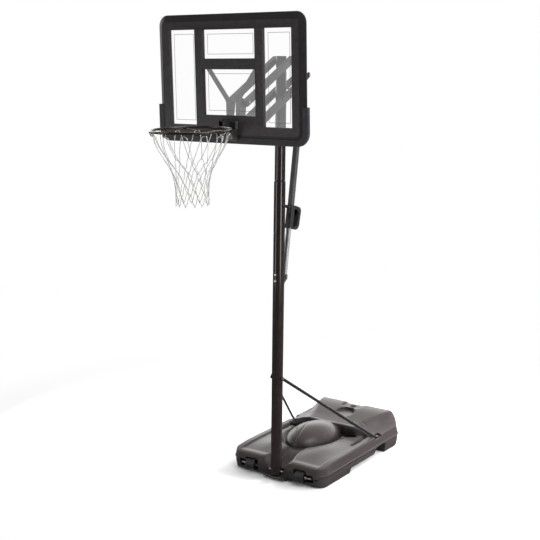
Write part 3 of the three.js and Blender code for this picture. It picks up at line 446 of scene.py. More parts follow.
def across(k, inner, outer):
    """the x range from inner to outer on side k, low end first"""
    return sorted((k * inner, k * outer))


def rounded_outline(x0, x1, y0, y1, low_r, high_r, steps):
    """counter-clockwise rectangle, rounded by low_r at the y0 corners and high_r at y1"""
    corners = (
        (x0 + low_r, y0 + low_r, low_r, pi), (x1 - low_r, y0 + low_r, low_r, 1.5 * pi),
        (x1 - high_r, y1 - high_r, high_r, 0), (x0 + high_r, y1 - high_r, high_r, 0.5 * pi))
    points = []
    for center_x, center_y, radius, start in corners:
        for i in range(steps + 1):
            a = start + 0.5 * pi * i / steps
            points.append((center_x + radius * cos(a), center_y + radius * sin(a)))
    return points


def mirrored(half):
    """a half profile's (radius, z) points in reverse, with z negated"""
    return [(r, -z) for r, z in reversed(half)]


def lathe(name, profile, seg, place):
    """closed (radius, z) profile turned about z, then placed; radius 0 lies on the axis"""
    vertices, faces, rings = [], [], []
    for r, z in profile:
        count = 1 if r < 1e-6 else seg
        rings.append(range(len(vertices), len(vertices) + count))
        for i in range(count):
            a = 2 * pi * i / seg
            vertices.append((r * cos(a) * MM, r * sin(a) * MM, z * MM))
    for low, high in zip(rings, rings[1:] + rings[:1]):
        if len(low) == 1 and len(high) == 1:
            continue
        for i in range(seg):
            j = (i + 1) % seg
            if len(low) == 1:
                faces.append((low[0], high[j], high[i]))
            elif len(high) == 1:
                faces.append((low[i], low[j], high[0]))
            else:
                faces.append((low[i], low[j], high[j], high[i]))
    return mesh_object(name, [place @ Vector(v) for v in vertices], faces, 35)


def tube_mesh(points, radius, seg, closed=False, swell=None):
    """vertices and faces of a tube along points in metres; swell(i, angle) scales the radius"""
    path = [Vector(p) for p in points]
    count = len(path)
    tangents = []
    for i in range(count):
        if closed:
            tangent = path[(i + 1) % count] - path[(i - 1) % count]
        else:
            tangent = path[min(i + 1, count - 1)] - path[max(i - 1, 0)]
        tangents.append(tangent.normalized())
    first = tangents[0]
    guide = Vector((0, 0, 1)) if abs(first.z) < 0.9 else Vector((1, 0, 0))
    normal = (guide - first * guide.dot(first)).normalized()
    vertices = []
    for i in range(count):
        tangent = tangents[i]
        if i:
            # carry the last normal along, so that the tube does not twist
            normal = normal - tangent * normal.dot(tangent)
            if normal.length < 1e-6:
                normal = tangent.orthogonal()
            normal.normalize()
        side = tangent.cross(normal)
        for j in range(seg):
            a = 2 * pi * j / seg
            scale = swell(i, a) if swell else 1.0
            r = radius * MM
            vertices.append(path[i] + normal * (cos(a) * r * scale) + side * (sin(a) * r * scale))
    faces = skin(count, seg, closed)
    if not closed:
        faces += end_caps(count, seg)
    return vertices, faces


def tube(name, points, radius, seg, closed=False):
    return mesh_object(name, *tube_mesh(points, radius, seg, closed), 35)


def smooth_path(points, steps):
    """Catmull-Rom curve through points in mm, returned in metres"""
    controls = [Vector(p) for p in points]
    last = len(controls) - 1
    path = []
    for i in range(last):
        p0, p1 = controls[max(i - 1, 0)], controls[i]
        p2, p3 = controls[i + 1], controls[min(i + 2, last)]
        for j in range(steps):
            t = j / steps
            point = 0.5 * ((2 * p1) + (p2 - p0) * t + (2 * p0 - 5 * p1 + 4 * p2 - p3) * t * t
                           + (3 * p1 - p0 - 3 * p2 + p3) * t ** 3)
            path.append(point * MM)
    path.append(controls[-1] * MM)
    return path


def flatten_normals(obj):
    """weighted normals, which keep large faces flat"""
    modifier = obj.modifiers.new("weighted", "WEIGHTED_NORMAL")
    modifier.mode = "FACE_AREA"
    modifier.weight = 50
    modifier.keep_sharp = True
    bake(obj)


def finish(obj, body, node, material, weighted=True):
    obj.data.materials.clear()
    obj.data.materials.append(material)
    if weighted:
        flatten_normals(obj)
    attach(obj, body)
    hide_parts(node)


def copy_cad(node, body, slot, material, bevel_width, segments=2, bevel_angle=32.0,
             dissolve=3.0, shade_angle=38.0):
    """the CAD piece with softened edges"""
    obj = link_object(node + "_v", CAD[node].data.copy())
    clean(obj, dissolve, distance=2e-6)
    bevel(obj, bevel_width, segments, bevel_angle)
    shade(obj, shade_angle)
    finish(obj, body, node, material)


def copy_bolt(node, body, bevel_width=0.0007):
    copy_cad(node, body, "zinc", M_ZINC, bevel_width, dissolve=1.0)


# ------------------------------------------------------------------ base tank
TANK_HALF_W, TANK_FRONT, TANK_BACK = 388, -10, 1095
TANK_FRONT_R, TANK_BACK_R = 85, 110
# z, inset, and a further inset of the sides and back; a flange bead at 83 to 91
TANK_WALLS = [
    (0, 18.5, 0), (3, 16.5, 0), (20, 12.6, 0), (40, 8.6, 0), (60, 5.2, 1.0), (68, 4.4, 3.5),
    (74, 4.0, 5.0), (80, 3.6, 4.5), (83, 0.3, 0), (84, 0, 0), (89, 0, 0), (91, 1.2, 2.5),
    (120, 8, 1.5), (150, 15.2, 0), (155, 16, 0), (200, 16.6, 0), (330, 17, 0),
]
DECK_STEP = 4.0
DOME_X, DOME_Y, DOME_HALF_X, DOME_HALF_Y = -45, 529, 172, 248
DOME_FOOT, DOME_TOP = 122, 229
POCKETS = ((168, 648, 78, 40, 116), (-258, 640, 70, 40, 116))  # x, y, half x, half y, floor z
DOME_SEAM = [(-34, 300), (-58, 380), (-84, 480), (-112, 570), (-138, 650)]  # x, y
TRAY_Y, TRAY_HALF_X, TRAY_HALF_Y = 885, 72, 82
# openings under the tank, (y, z)
FRONT_ARCH = [(-60, -10), (-60, 33), (-14, 33), (20, 14), (58, 0), (58, -10)]
SIDE_ARCH = [(-60, -10), (-60, 30), (-12, 28), (8, 12), (46, 0), (46, -10)]
FRONT_BLOCK = [(-40, 24), (-40, 30), (-37, 33), (70, 33), (70, 0), (-5, 0)]
SIDE_NOTCH = [(684, -10), (684, 34), (722, 84), (826, 84), (834, 72), (834, -10)]
# the pole's recess in the front, (x, z)
POLE_RECESS = [(-46, 30), (46, 30), (46, 62), (112, 152), (112, 330),
               (-112, 330), (-112, 152), (-46, 62)]


def ease(start, end, value):
    """smooth step from 0 at start to 1 at end"""
    t = np.clip((value - start) / (end - start), 0, 1)
    return t * t * (3 - 2 * t)


def groove(x, y, line, width, depth):
    """depth of a soft trench along a polyline"""
    nearest = np.full(np.shape(x), 1e9)
    for (x0, y0), (x1, y1) in zip(line[:-1], line[1:]):
        dx, dy = x1 - x0, y1 - y0
        t = np.clip(((x - x0) * dx + (y - y0) * dy) / (dx * dx + dy * dy), 0, 1)
        nearest = np.minimum(nearest, np.hypot(x - x0 - t * dx, y - y0 - t * dy))
    return depth * np.exp(-(nearest / width) ** 2)


def deck_height(x, y):
    """the tank's top surface"""
    side = np.abs(x)
    # side lobes: an outer strip, a small step, a shallow dish and a low crest
    dish = ease(20, 75, y) * (1 - ease(560, 640, y))
    crest = 13 * np.exp(-((side - 165) / 95) ** 2 - ((y - 290) / 150) ** 2)
    lobe = 155 - 10 * ease(332, 314, side) * dish + crest
    # a channel between the lobes, rising to the rear
    floor = 60 + 62 * ease(40, 270, y)
    channel = floor + (lobe - floor) * ease(50, 120 - 50 * ease(0, 190, y), side)
    z = np.where(y < 330, np.minimum(lobe, channel), lobe)
    # moat around the dome
    moat = np.hypot((x - DOME_X) / (DOME_HALF_X + 4), (y - DOME_Y) / (DOME_HALF_Y + 4))
    z = np.minimum(z, DOME_FOOT + (lobe - DOME_FOOT) * ease(1.0, 1.22, moat))
    # pockets in front of the rear block
    for px, py, half_x, half_y, pocket_z in POCKETS:
        reach = np.hypot((x - px) / half_x, (y - py) / half_y)
        z = np.minimum(z, pocket_z + (np.maximum(z, pocket_z) - pocket_z) * ease(0.82, 1.08, reach))
    # trench beside the outer strip
    for k in (1, -1):
        reach = np.hypot((x * k - 303) / 15, np.maximum(np.abs(y - 594) - 88, 0) / 15)
        z = z - 14 * (1 - ease(0.55, 1.15, reach))
    # dome, with a seam over it
    reach = ((x - DOME_X) / DOME_HALF_X) ** 2 + ((y - DOME_Y) / DOME_HALF_Y) ** 2
    dome = DOME_FOOT + (DOME_TOP - DOME_FOOT) * np.sqrt(np.maximum(1 - reach, 0))
    z = np.where(reach < 1, np.maximum(z, dome), z)
    z = z - groove(x, y, DOME_SEAM, 4.5, 7.5) * (reach < 1.02)
    # rear block, widening and rising to the rear
    half = 190 + 97 * ease(760, 1060, y)
    step = 9 * ease(960, 990, y) * (1 - ease(70, 84, np.abs(x + 8)))
    top = 200 + 40 * ease(690, 1030, y) - step
    block = 155 + (top - 155) * (1 - ease(half, 372, side))
    rise = ease(680, 697, y)
    z = z + (block - z) * rise
    # ledge line across the block and bent grooves at its shoulders
    z = z - groove(x, y, [(-170, 726), (170, 726)], 3.2, 3.0) * rise
    for k in (1, -1):
        z = z - groove(x * k, y, [(170, 556), (196, 612), (222, 668)], 3.4, 5.0) * (1 - rise)
        z = z - groove(x * k, y, [(222, 700), (252, 786), (205, 800)], 3.4, 4.0)
    # the block falls off at its rear edge
    z = z - 22 * ease(1056, 1095, y)
    # the lobes roll over towards the front wall
    t = np.clip((225 - y) / 235, 0, 1)
    u = np.clip((30 - y) / 41, 0, 1)
    return np.where(z > 118, z - (z - 118) * (0.62 * t * t + 0.16 * (1 - np.sqrt(1 - u * u))), z)


def tank_walls():
    """solid inside the tank's side walls"""
    vertices = []
    for z, inset, gap in TANK_WALLS:
        ring = rounded_outline(
            -TANK_HALF_W + inset + gap, TANK_HALF_W - inset - gap,
            TANK_FRONT + inset, TANK_BACK - inset - gap,
            TANK_FRONT_R - inset, TANK_BACK_R - inset, 14)
        vertices += [(x * MM, y * MM, z * MM) for x, y in ring]
    rings, count = len(TANK_WALLS), len(ring)
    caps = [cap[::-1] for cap in end_caps(rings, count)]
    return mesh_object("walls", vertices, caps + skin(rings, count))


def deck_solid():
    """solid from just under the ground up to the deck surface"""
    xs = np.arange(-404, 404.1, DECK_STEP)
    ys = np.arange(-30, 1110.1, DECK_STEP)
    nx, ny = len(xs), len(ys)
    X, Y = np.meshgrid(xs, ys)
    top_z = deck_height(X, Y)
    layers = [np.stack([X, Y, z], -1).reshape(-1, 3) for z in (top_z, np.full_like(top_z, -1.0))]
    under = nx * ny
    faces = []
    for j in range(ny - 1):
        for i in range(nx - 1):
            a = j * nx + i
            faces.append((a, a + 1, a + nx + 1, a + nx))
            faces.append((under + a, under + a + nx, under + a + nx + 1, under + a + 1))
    for i in range(nx - 1):
        faces.append((i, under + i, under + i + 1, i + 1))
        a = (ny - 1) * nx + i
        faces.append((a, a + 1, under + a + 1, under + a))
    for j in range(ny - 1):
        a = j * nx
        faces.append((a, a + nx, under + a + nx, under + a))
        a = j * nx + nx - 1
        faces.append((a, under + a, under + a + nx, a + nx))
    return mesh_object("base_tank_v", np.vstack(layers) * MM, faces)


def build_base():
    tank = deck_solid()
    boolean(tank, tank_walls(), "INTERSECT")
    boolean(tank, prism(FRONT_ARCH, -152, 152, "x"))
    boolean(tank, prism(SIDE_ARCH, -420, -151, "x"))
    boolean(tank, prism(SIDE_ARCH, 151, 420, "x"))
    boolean(tank, prism(FRONT_BLOCK, -85, 85, "x"), "UNION")
    boolean(tank, prism(POLE_RECESS, -60, 56, "y"))
    for _, k in SIDES:
        # wheel well, then a shallower one outside it
        boolean(tank, box(*across(k, 152, 250), -80, 46.75, -10, 106))
        boolean(tank, box(*across(k, 249, 306), -80, 30, 34, 88))
        # side notch, and the flat under the brace foot
        boolean(tank, prism(SIDE_NOTCH, *across(k, 322, 500), "x"))
        boolean(tank, box(*across(k, 338, 420), 700, 786, 137.7, 400))
    # hollow across the underside
    boolean(tank, box(-500, 500, 369, 834, -10, 36))
    # oval tray and filler hole in the rear block
    tray = cylinder("z", TRAY_HALF_X, 60, (0, 0, 243), 64)
    for vertex in tray.data.vertices:
        vertex.co.y = vertex.co.y * TRAY_HALF_Y / TRAY_HALF_X + TRAY_Y * MM
    boolean(tank, tray)
    boolean(tank, cylinder("z", 22, 60, (0, FILLER_Y, 247), 48))
    # rebuild in small cells and relax, so that every edge is moulded soft
    cells = tank.modifiers.new("remesh", "REMESH")
    cells.mode = "VOXEL"
    cells.voxel_size = 0.0042
    relax = tank.modifiers.new("smooth", "SMOOTH")
    relax.factor = 0.5
    relax.iterations = 3
    bake(tank)
    boolean(tank, cylinder("x", 6.3, 700, (0, AXLE_Y, AXLE_Z)))
    for _, k in SIDES:
        boolean(tank, cylinder("z", 4.8, 40, (k * BRACE_FOOT_X, BRACE_FOOT_Y, 150), 20))
    for polygon in tank.data.polygons:
        polygon.use_smooth = True
    finish(tank, "stand", "base_tank", M_TANK, weighted=False)


def build_filler_cap():
    """screw cap: a scalloped skirt with a grip bar on top"""
    cap_y = FILLER_Y * MM
    profile = [(0, 0), (19, 0), (20.3, 1.6), (20.5, 2.4), (20.5, 7.4), (20.1, 8.6),
               (18.6, 9.8), (16.5, 10), (0, 10)]
    cap = lathe("fill_cap_v", profile, 72, Matrix.Translation((0, cap_y, 0.2173)))
    for vertex in cap.data.vertices:
        x, y = vertex.co.x, vertex.co.y - cap_y
        if math.hypot(x, y) > 0.0195:
            scale = 1 - 0.03 * (0.5 + 0.5 * cos(math.atan2(y, x) * 24))
            vertex.co.x, vertex.co.y = x * scale, cap_y + y * scale
    outline = [(-15, -3), (-14, -2.2), (14, -2.2), (15, -3),
               (15, 3), (14, 2.2), (-14, 2.2), (-15, 3)]
    grip = prism(outline, 226.3, 231.2, "z")
    for vertex in grip.data.vertices:
        vertex.co.y += cap_y
    boolean(cap, grip, "UNION")
    clean(cap, dissolve=1.0)
    bevel(cap, 0.0006, 2, 40)
    shade(cap, 35)
    finish(cap, "filler", "fill_cap", M_BLACK)


build_base()
build_filler_cap()


# ------------------------------------------------------------------ wheels and axle
def along_axle(x):
    """frame on the axle at x, its z along +X"""
    place = Matrix.Translation((x * MM, AXLE_Y * MM, AXLE_Z * MM))
    return place @ Matrix.Rotation(pi / 2, 4, "Y")


def build_wheel(side, k):
    """hub, recessed webs and a tread with two grooves"""
    h, tread = 35.0, 38.0
    half = [(6.5, -h), (15, -h), (16, -h + 1), (17, -h + 8), (28.5, -h + 8), (30, -h + 7),
            (31, -h + 0.6), (32, -h), (35, -h), (37.2, -h + 1.2), (tread, -h + 3.4),
            (tread, -12), (37.2, -11.2), (37.2, -8.8), (tread, -8)]
    wheel = lathe("wheel_%s_v" % side, half + mirrored(half), 64, along_axle(k * WHEEL_X))
    # five shallow pockets in each web
    for face in (-1, 1):
        for i in range(5):
            a = 2 * pi * i / 5
            center = (k * WHEEL_X + face * (h - 8), AXLE_Y + 23 * cos(a), AXLE_Z + 23 * sin(a))
            boolean(wheel, cylinder("x", 4.6, 3.4, center, 20))
    clean(wheel, dissolve=0.5)
    shade(wheel, 30)
    finish(wheel, side + "_wheel", "wheel_" + side, M_WHEEL)


def build_axle():
    end = 292
    half = [(0, -end), (4.6, -end), (5.6, -end + 0.6), (6, -end + 1.6), (6, -250)]
    axle = lathe("wheel_axle_v", half + [(6, 0)] + mirrored(half), 32, along_axle(0))
    finish(axle, "stand", "wheel_axle", M_ZINC)


for side, k in SIDES:
    build_wheel(side, k)
build_axle()
for side, _ in SIDES:
    copy_cad("axle_clip_" + side, "stand", "zinc", M_ZINC, 0.0005)


# ------------------------------------------------------------------ pole
def pole_section(name, profile, holes, shade_angle):
    """a pole tube; holes are (axis, height along the pole, radius)"""
    section = lathe(name + "_v", profile, 72, POLE_M)
    for axis, s, radius in holes:
        drill = cylinder(axis, radius, 120, (0, 0, s), 24)
        drill.data.transform(POLE_M)
        boolean(section, drill)
    shade(section, shade_angle)
    finish(section, "stand", name, M_POLE)


def build_pole():
    """three tubes and a cap; each lower tube ends in a spigot inside the next"""
    gap = 0.3
    outer, bore = POLE_R, POLE_R - POLE_WALL
    spigot = bore - gap
    spigot_bore = spigot - POLE_WALL
    # heights along the pole
    foot, seam1, seam2, taper, top = 36, 659, 1702, 2046, 2844
    top_r = 35
    pivot = math.hypot(119.6, 2605.0)

    # profiles are (radius, height), with rolled lips at the seams
    bottom = [
        (bore, foot), (outer - 0.6, foot), (outer, foot + 0.8), (outer, seam1 - 2.2),
        (outer - 0.5, seam1 - 1.2), (outer - 1.4, seam1 - 0.8), (spigot, seam1 - 0.8),
        (spigot, seam1 + 99), (spigot - 0.7, seam1 + 100), (spigot_bore, seam1 + 100),
        (spigot_bore, seam1 - 20), (bore, seam1 - 24)]
    pole_section("pole_bottom", bottom,
                 [("x", AXLE_Z / cos(LEAN), 6.8), ("x", BRACE_S, 5.6)], 30)
    middle = [
        (bore, seam1), (outer - 1.2, seam1), (outer - 0.4, seam1 + 0.5), (outer, seam1 + 1.4),
        (outer, seam2 - 3.6), (outer - 0.5, seam2 - 2.4), (outer - 1.6, seam2 - 1.8),
        (spigot, seam2 - 1.8), (spigot, seam2 + 89), (spigot - 0.7, seam2 + 90),
        (spigot_bore, seam2 + 90), (spigot_bore, seam2 - 20), (bore, seam2 - 24)]
    bolt_holes = [("y", s, 4.6) for s in BRACKET_BOLTS.values()]
    pole_section("pole_middle", middle, [("x", BRACE_S, 5.6)] + bolt_holes, 30)
    upper = [
        (bore, seam2), (outer - 1.2, seam2), (outer - 0.3, seam2 + 0.6), (outer, seam2 + 1.6),
        (outer, taper - 3), (outer - 0.3, taper - 1), (top_r + 0.5, taper + 4.6),
        (top_r, taper + 6.6), (top_r, top - 0.6), (top_r - 0.6, top), (top_r - POLE_WALL, top),
        (top_r - POLE_WALL, taper + 2), (bore, taper - 8)]
    pole_section("pole_top", upper, [("x", pivot, 6.6), ("x", pivot + 209.2, 6.6)], 25)

    plug = top_r - POLE_WALL - gap
    cap_profile = [
        (0, top - 16), (plug - 0.8, top - 16), (plug, top - 15), (plug, top + 0.3),
        (top_r - 0.4, top + 0.3), (top_r, top + 0.9), (top_r, top + 2.8),
        (top_r - 1.4, top + 4.8), (top_r - 5, top + 6.2), (top_r - 12, top + 6.8), (0, top + 7)]
    cap = lathe("pole_top_cap_v", cap_profile, 64, POLE_M)
    finish(cap, "stand", "pole_top_cap", M_BLACK)


build_pole()


# ------------------------------------------------------------------ base braces
def ease_unit(t):
    t = min(max(t, 0), 1)
    return t * t * (3 - 2 * t)


def build_brace(side, k):
    """tube from the pole to the deck edge, pressed flat at both ends"""
    top_y, top_z = BRACE_S * sin(LEAN), BRACE_S * cos(LEAN)
    foot_x, foot_y = k * BRACE_FOOT_X, 736.0
    top = Vector((k * 42.5, top_y, top_z))
    foot = Vector((foot_x, foot_y, 140.5))
    controls = [
        top + Vector((0, -14, 12)), top + Vector((0, -2, 2)), top + Vector((k * 1.5, 12, -7)),
        Vector((k * 56, top_y + 36, top_z - 27)), foot.lerp(top, 0.5), foot.lerp(top, 0.06),
        foot + Vector((0, 2, 0.6)), foot + Vector((k * 1.5, 14, 0)), foot + Vector((k * 3, 30, 0))]
    path = smooth_path(controls, 10)
    count, seg = len(path), 20
    vertices = []
    for i in range(count):
        tangent = (path[min(i + 1, count - 1)] - path[max(i - 1, 0)]).normalized()
        u = i / (count - 1) * (len(controls) - 1)
        flat_top = 1 - min(max((u - 0.6) / 2.0, 0), 1)
        flat_top, flat_foot = ease_unit(flat_top), ease_unit((u - 5.0) / 1.4)
        flat = max(flat_top, flat_foot)
        # the top is thin sideways, the foot is thin upright
        thin_side, wide_up = (3.2, 13.5) if flat_top > flat_foot else (12.5, 2.5)
        half_side = 7.5 * (1 - flat) + thin_side * flat
        half_up = 11.0 * (1 - flat) + wide_up * flat
        sideways = Vector((-k * tangent.y, k * tangent.x, 0)).normalized()
        upright = tangent.cross(sideways).normalized()
        # superellipse section, squarer where it is flat
        power = 2 / (2.0 + 2.4 * flat)
        for j in range(seg):
            a = 2 * pi * j / seg
            c, s = cos(a), sin(a)
            c = math.copysign(abs(c) ** power, c)
            s = math.copysign(abs(s) ** power, s)
            vertices.append(path[i] + sideways * (half_side * c * MM) + upright * (half_up * s * MM))
    faces = skin(count, seg) + end_caps(count, seg)
    brace = mesh_object("base_brace_%s_v" % side, vertices, faces, 35)
    # clear the pole
    pole = cylinder("z", POLE_R + 0.7, 400, (0, 0, 0), 48)
    pole.data.transform(POLE_M)
    for vertex in pole.data.vertices:
        vertex.co.y += top_y * MM
        vertex.co.z += top_z * MM
    boolean(brace, pole)
    # bolt holes
    boolean(brace, cylinder("x", 5.8, 60, (k * 42, top_y, top_z), 20))
    boolean(brace, cylinder("z", 4.9, 60, (foot_x, BRACE_FOOT_Y, 140), 20))
    # flats outside the pole bolt, under the foot and over the foot bolt
    boolean(brace, box(*across(k, 46.2, 80), top_y - 9, top_y + 9, top_z - 9, top_z + 9))
    boolean(brace, box(foot_x - 40, foot_x + 40, foot_y - 60, foot_y + 60, 100, 137.95))
    boolean(brace, box(foot_x - 9, foot_x + 9, foot_y + 11, foot_y + 29, 143.2, 200))
    shade(brace, 40)
    finish(brace, "stand", "base_brace_" + side, M_ARM)


for side, k in SIDES:
    build_brace(side, k)

# ------------------------------------------------------------------ bolts, screws and spacers
for node in ("brace_foot_bolt_left", "brace_foot_bolt_right", "brace_pole_bolt",
             "lower_pivot_bolt", "upper_pivot_bolt"):
    copy_bolt(node, "stand")
for node in ("yoke_bolt", "lift_top_bolt", "strut_spacer_left", "strut_spacer_right"):
    # skips any that the CAD lacks
    if node in CAD:
        copy_bolt(node, "lower_arms")
for node in ("v_brace_screw_left", "v_brace_screw_right", "front_lower_bolt", "front_upper_bolt"):
    copy_bolt(node, "backboard")
for level in ("lower", "upper"):
    for side, _ in SIDES:
        node = "pole_spacer_%s_%s" % (level, side)
        copy_cad(node, "stand", "black_plastic", M_BLACK, 0.0006)


def build_bracket_bolt(level):
    """bolt through the pole; its local z runs to the front, with the domed head there"""
    place = POLE_M @ Matrix.Translation((0, 0, BRACKET_BOLTS[level] * MM))
    place = place @ Matrix.Rotation(pi / 2, 4, "X")
    profile = [(0, -47.9), (3.6, -47.9), (4.2, -47.3), (4.2, 38.9), (9.5, 38.95), (9.5, 39.9),
               (9.1, 41.4), (7.6, 42.8), (4.6, 43.4), (0, 43.45)]
    bolt = lathe("lift_bracket_bolt_%s_v" % level, profile, 40, place)
    nut = cylinder("z", 7.5, 4.6, (0, 0, -45.5), 6)
    nut.data.transform(place)
    boolean(bolt, nut, "UNION")
    clean(bolt, dissolve=0.5)
    shade(bolt, 40)
    finish(bolt, "stand", "lift_bracket_bolt_" + level, M_ZINC)


for level in BRACKET_BOLTS:
    build_bracket_bolt(level)
copy_cad("lift_bracket", "stand", "arm_paint", M_ARM, 0.0009)

# ------------------------------------------------------------------ lift arms, yoke and strut
ARM_EDGES = {"bevel_width": 0.0022, "segments": 3, "bevel_angle": 60.0}
for body in ("lower_arms", "upper_arms"):
    for side, _ in SIDES:
        copy_cad(body[:-1] + "_" + side, body, "arm_paint", M_ARM, **ARM_EDGES)
for side, _ in SIDES:
    copy_cad("lift_yoke_" + side, "lower_arms", "arm_paint", M_ARM, 0.0008, dissolve=1.0)
copy_cad("lift_outer_tube", "lift_sleeve", "strut_paint", M_STRUT, **ARM_EDGES)
copy_cad("lift_inner_tube", "lift_rod", "galvanised", M_GALV,
         bevel_width=0.0018, segments=3, bevel_angle=60.0)
copy_bolt("lift_foot_pin", "lift_rod")
copy_cad("lift_trigger", "trigger", "black_plastic", M_BLACK,
         bevel_width=0.0013, segments=3, bevel_angle=30.0)
copy_cad("lift_handle", "lift_sleeve", "black_plastic", M_BLACK,
         bevel_width=0.0030, segments=3, bevel_angle=30, dissolve=2.0, shade_angle=45)


# ------------------------------------------------------------------ backboard
SHEET_INSET = 24
SHEET_FRONT, SHEET_BACK = -404.3, -400.3
RETAINER_FRONT, RETAINER_BACK = -400.0, -389.6
BUMPER_WALL = 14
# pockets in the retainer's back on each side: inner x, outer x, z0, z1
SIDE_POCKETS = [
    (214, 243, 2450, 2592), (214, 243, 2600, 2786), (214, 243, 2830, 3008),
    (481, 524, 2450, 2640), (481, 524, 2650, 2830), (481, 524, 2840, 3008),
    (262, 360, 3034, 3076), (262, 360, 2380, 2424),
    (370, 466, 3034, 3076), (370, 466, 2380, 2424),
]


def board_ring(inset):
    """the board's (x, z) outline moved inwards"""
    radius = BOARD_CORNER - inset
    return rounded_outline(-BOARD_W / 2 + inset, BOARD_W / 2 - inset,
                           BOARD_BOTTOM + inset, BOARD_TOP - inset, radius, radius, 10)


def board_solid(name, levels):
    """solid through board outlines; levels are (y, inset)"""
    vertices = [(x * MM, y * MM, z * MM) for y, inset in levels for x, z in board_ring(inset)]
    rings = len(levels)
    count = len(vertices) // rings
    sides = [quad[:1] + quad[:0:-1] for quad in skin(rings, count)]
    return mesh_object(name, vertices, end_caps(rings, count) + sides)


def rounded_block(x0, x1, z0, z1, radius, y0, y1):
    return prism(rounded_outline(x0, x1, z0, z1, radius, radius, 4), y0, y1, "y")


def build_board_frame():
    front, back = BOARD_FRONT, BOARD_BACK
    # a raised bead near the inner edge, a wide bevel, then the side running to the back
    frame = board_solid("backboard_frame_v", [
        (front, 45.0), (front + 0.5, 43.6), (front + 2.4, 42.6), (front + 2.6, 41.0),
        (front + 2.2, 39.2), (front + 3.0, 36.0), (front + 11, 19.5), (front + 18.6, 4.9),
        (front + 20.4, 2.0), (front + 22.4, 0.5), (front + 24.6, 0.4),
        (back - 4, 15.6), (back - 1.2, 17.6), (back, 20.0)])
    for window in WINDOWS:
        boolean(frame, rounded_block(*window, 4, front - 50, back + 20))
    # recess for the sheet, open at the back
    boolean(frame, prism(board_ring(22), -404.6, back + 20, "y"))
    clean(frame, dissolve=0.3)
    bevel(frame, 0.0016, 2, 55)
    shade(frame, 30)
    finish(frame, "backboard", "backboard_frame", M_FRAME)


def build_panel():
    """clear sheet with a small chamfer"""
    panel = board_solid("backboard_panel_v", [
        (SHEET_FRONT, SHEET_INSET + 0.3), (SHEET_FRONT + 0.3, SHEET_INSET),
        (SHEET_BACK - 0.3, SHEET_INSET), (SHEET_BACK, SHEET_INSET + 0.3)])
    shade(panel, 30)
    finish(panel, "backboard", "backboard_panel", M_PANEL)


def build_border_lines():
    """thin border lines on the sheet's front, one rectangle in each window"""
    margin, line = 25, 2.6
    vertices, faces = [], []
    for x0, x1, z0, z1 in WINDOWS:
        first = len(vertices)
        outer = (x0 + margin, x1 - margin, z0 + margin, z1 - margin)
        inner = (outer[0] + line, outer[1] - line, outer[2] + line, outer[3] - line)
        for y in (-404.85, -404.42):
            for left, right, low, high in (outer, inner):
                for x, z in ((left, low), (right, low), (right, high), (left, high)):
                    vertices.append((x * MM, y * MM, z * MM))
        for i in range(4):
            j = (i + 1) % 4
            for face in ((i, j, 4 + j, 4 + i), (8 + i, 12 + i, 12 + j, 8 + j),
                         (i, 8 + i, 8 + j, j), (4 + i, 4 + j, 12 + j, 12 + i)):
                faces.append(tuple(first + corner for corner in face))
    lines = mesh_object("panel_border_lines", vertices, faces, 30)
    lines.data.materials.append(M_LINE)
    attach(lines, "backboard")


def build_retainer():
    """frame behind the sheet, with pockets in its back and ribs between them"""
    front, back = RETAINER_FRONT, RETAINER_BACK
    retainer = board_solid("panel_retainer_v", [
        (front, SHEET_INSET), (back - 2.2, SHEET_INSET),
        (back - 0.6, SHEET_INSET + 0.8), (back, SHEET_INSET + 2.4)])
    for x0, x1, z0, z1 in WINDOWS:
        boolean(retainer, rounded_block(x0 - 8, x1 + 8, z0 - 8, z1 + 8, 6, front - 20, back + 20))
    pockets = [(*across(k, inner, outer), z0, z1)
               for _, k in SIDES for inner, outer, z0, z1 in SIDE_POCKETS]
    pockets += [(x0, x1, 3034, 3076) for x0, x1 in ((-190, -66), (-56, 56), (66, 190))]
    for pocket in pockets:
        boolean(retainer, rounded_block(*pocket, 5, back - 5.5, back + 20))
    for _, k in SIDES:
        boolean(retainer, cylinder("y", 4.6, 60, (k * 206, back, 2810), 20))
    clean(retainer, dissolve=0.3)
    bevel(retainer, 0.0010, 2, 50)
    shade(retainer, 30)
    finish(retainer, "backboard", "panel_retainer", M_FRAME)


def build_bumper():
    """guard around the board's lower edge and corners"""
    front, back = BOARD_FRONT + 6, -397.0
    levels = [(front, 5.0), (front + 0.8, 2.6), (front + 2.8, 0.8), (front + 5.5, 0.0),
              (back - 3.5, 0.0), (back - 1.0, 1.0), (back, 3.0)]
    levels = [(y, inset - BUMPER_WALL) for y, inset in levels]
    bumper = board_solid("bottom_bumper_v", levels)
    boolean(bumper, prism(board_ring(25), BOARD_FRONT - 60, BOARD_BACK + 60, "y"))
    # room for the frame's bevelled side
    boolean(bumper, board_solid("frame_room", [
        (BOARD_FRONT - 0.5, 38.5), (BOARD_FRONT + 20.6, -0.4),
        (BOARD_FRONT + 22.0, -0.5), (BOARD_BACK + 0.5, 17.5)]))
    # only the part below this height stays
    boolean(bumper, box(-2000, 2000, -2000, 2000, 2562, 5000))
    clean(bumper, dissolve=0.3)
    bevel(bumper, 0.0016, 2, 55)
    shade(bumper, 30)
    finish(bumper, "backboard", "bottom_bumper", M_BUMPER)


build_board_frame()
build_panel()
build_border_lines()
build_retainer()
build_bumper()
for side, _ in SIDES:
    copy_cad("v_brace_" + side, "backboard", "arm_paint", M_PLATE, 0.0007)
for side, _ in SIDES:
    copy_cad("board_bracket_" + side, "backboard", "arm_paint", M_PLATE, 0.0008)


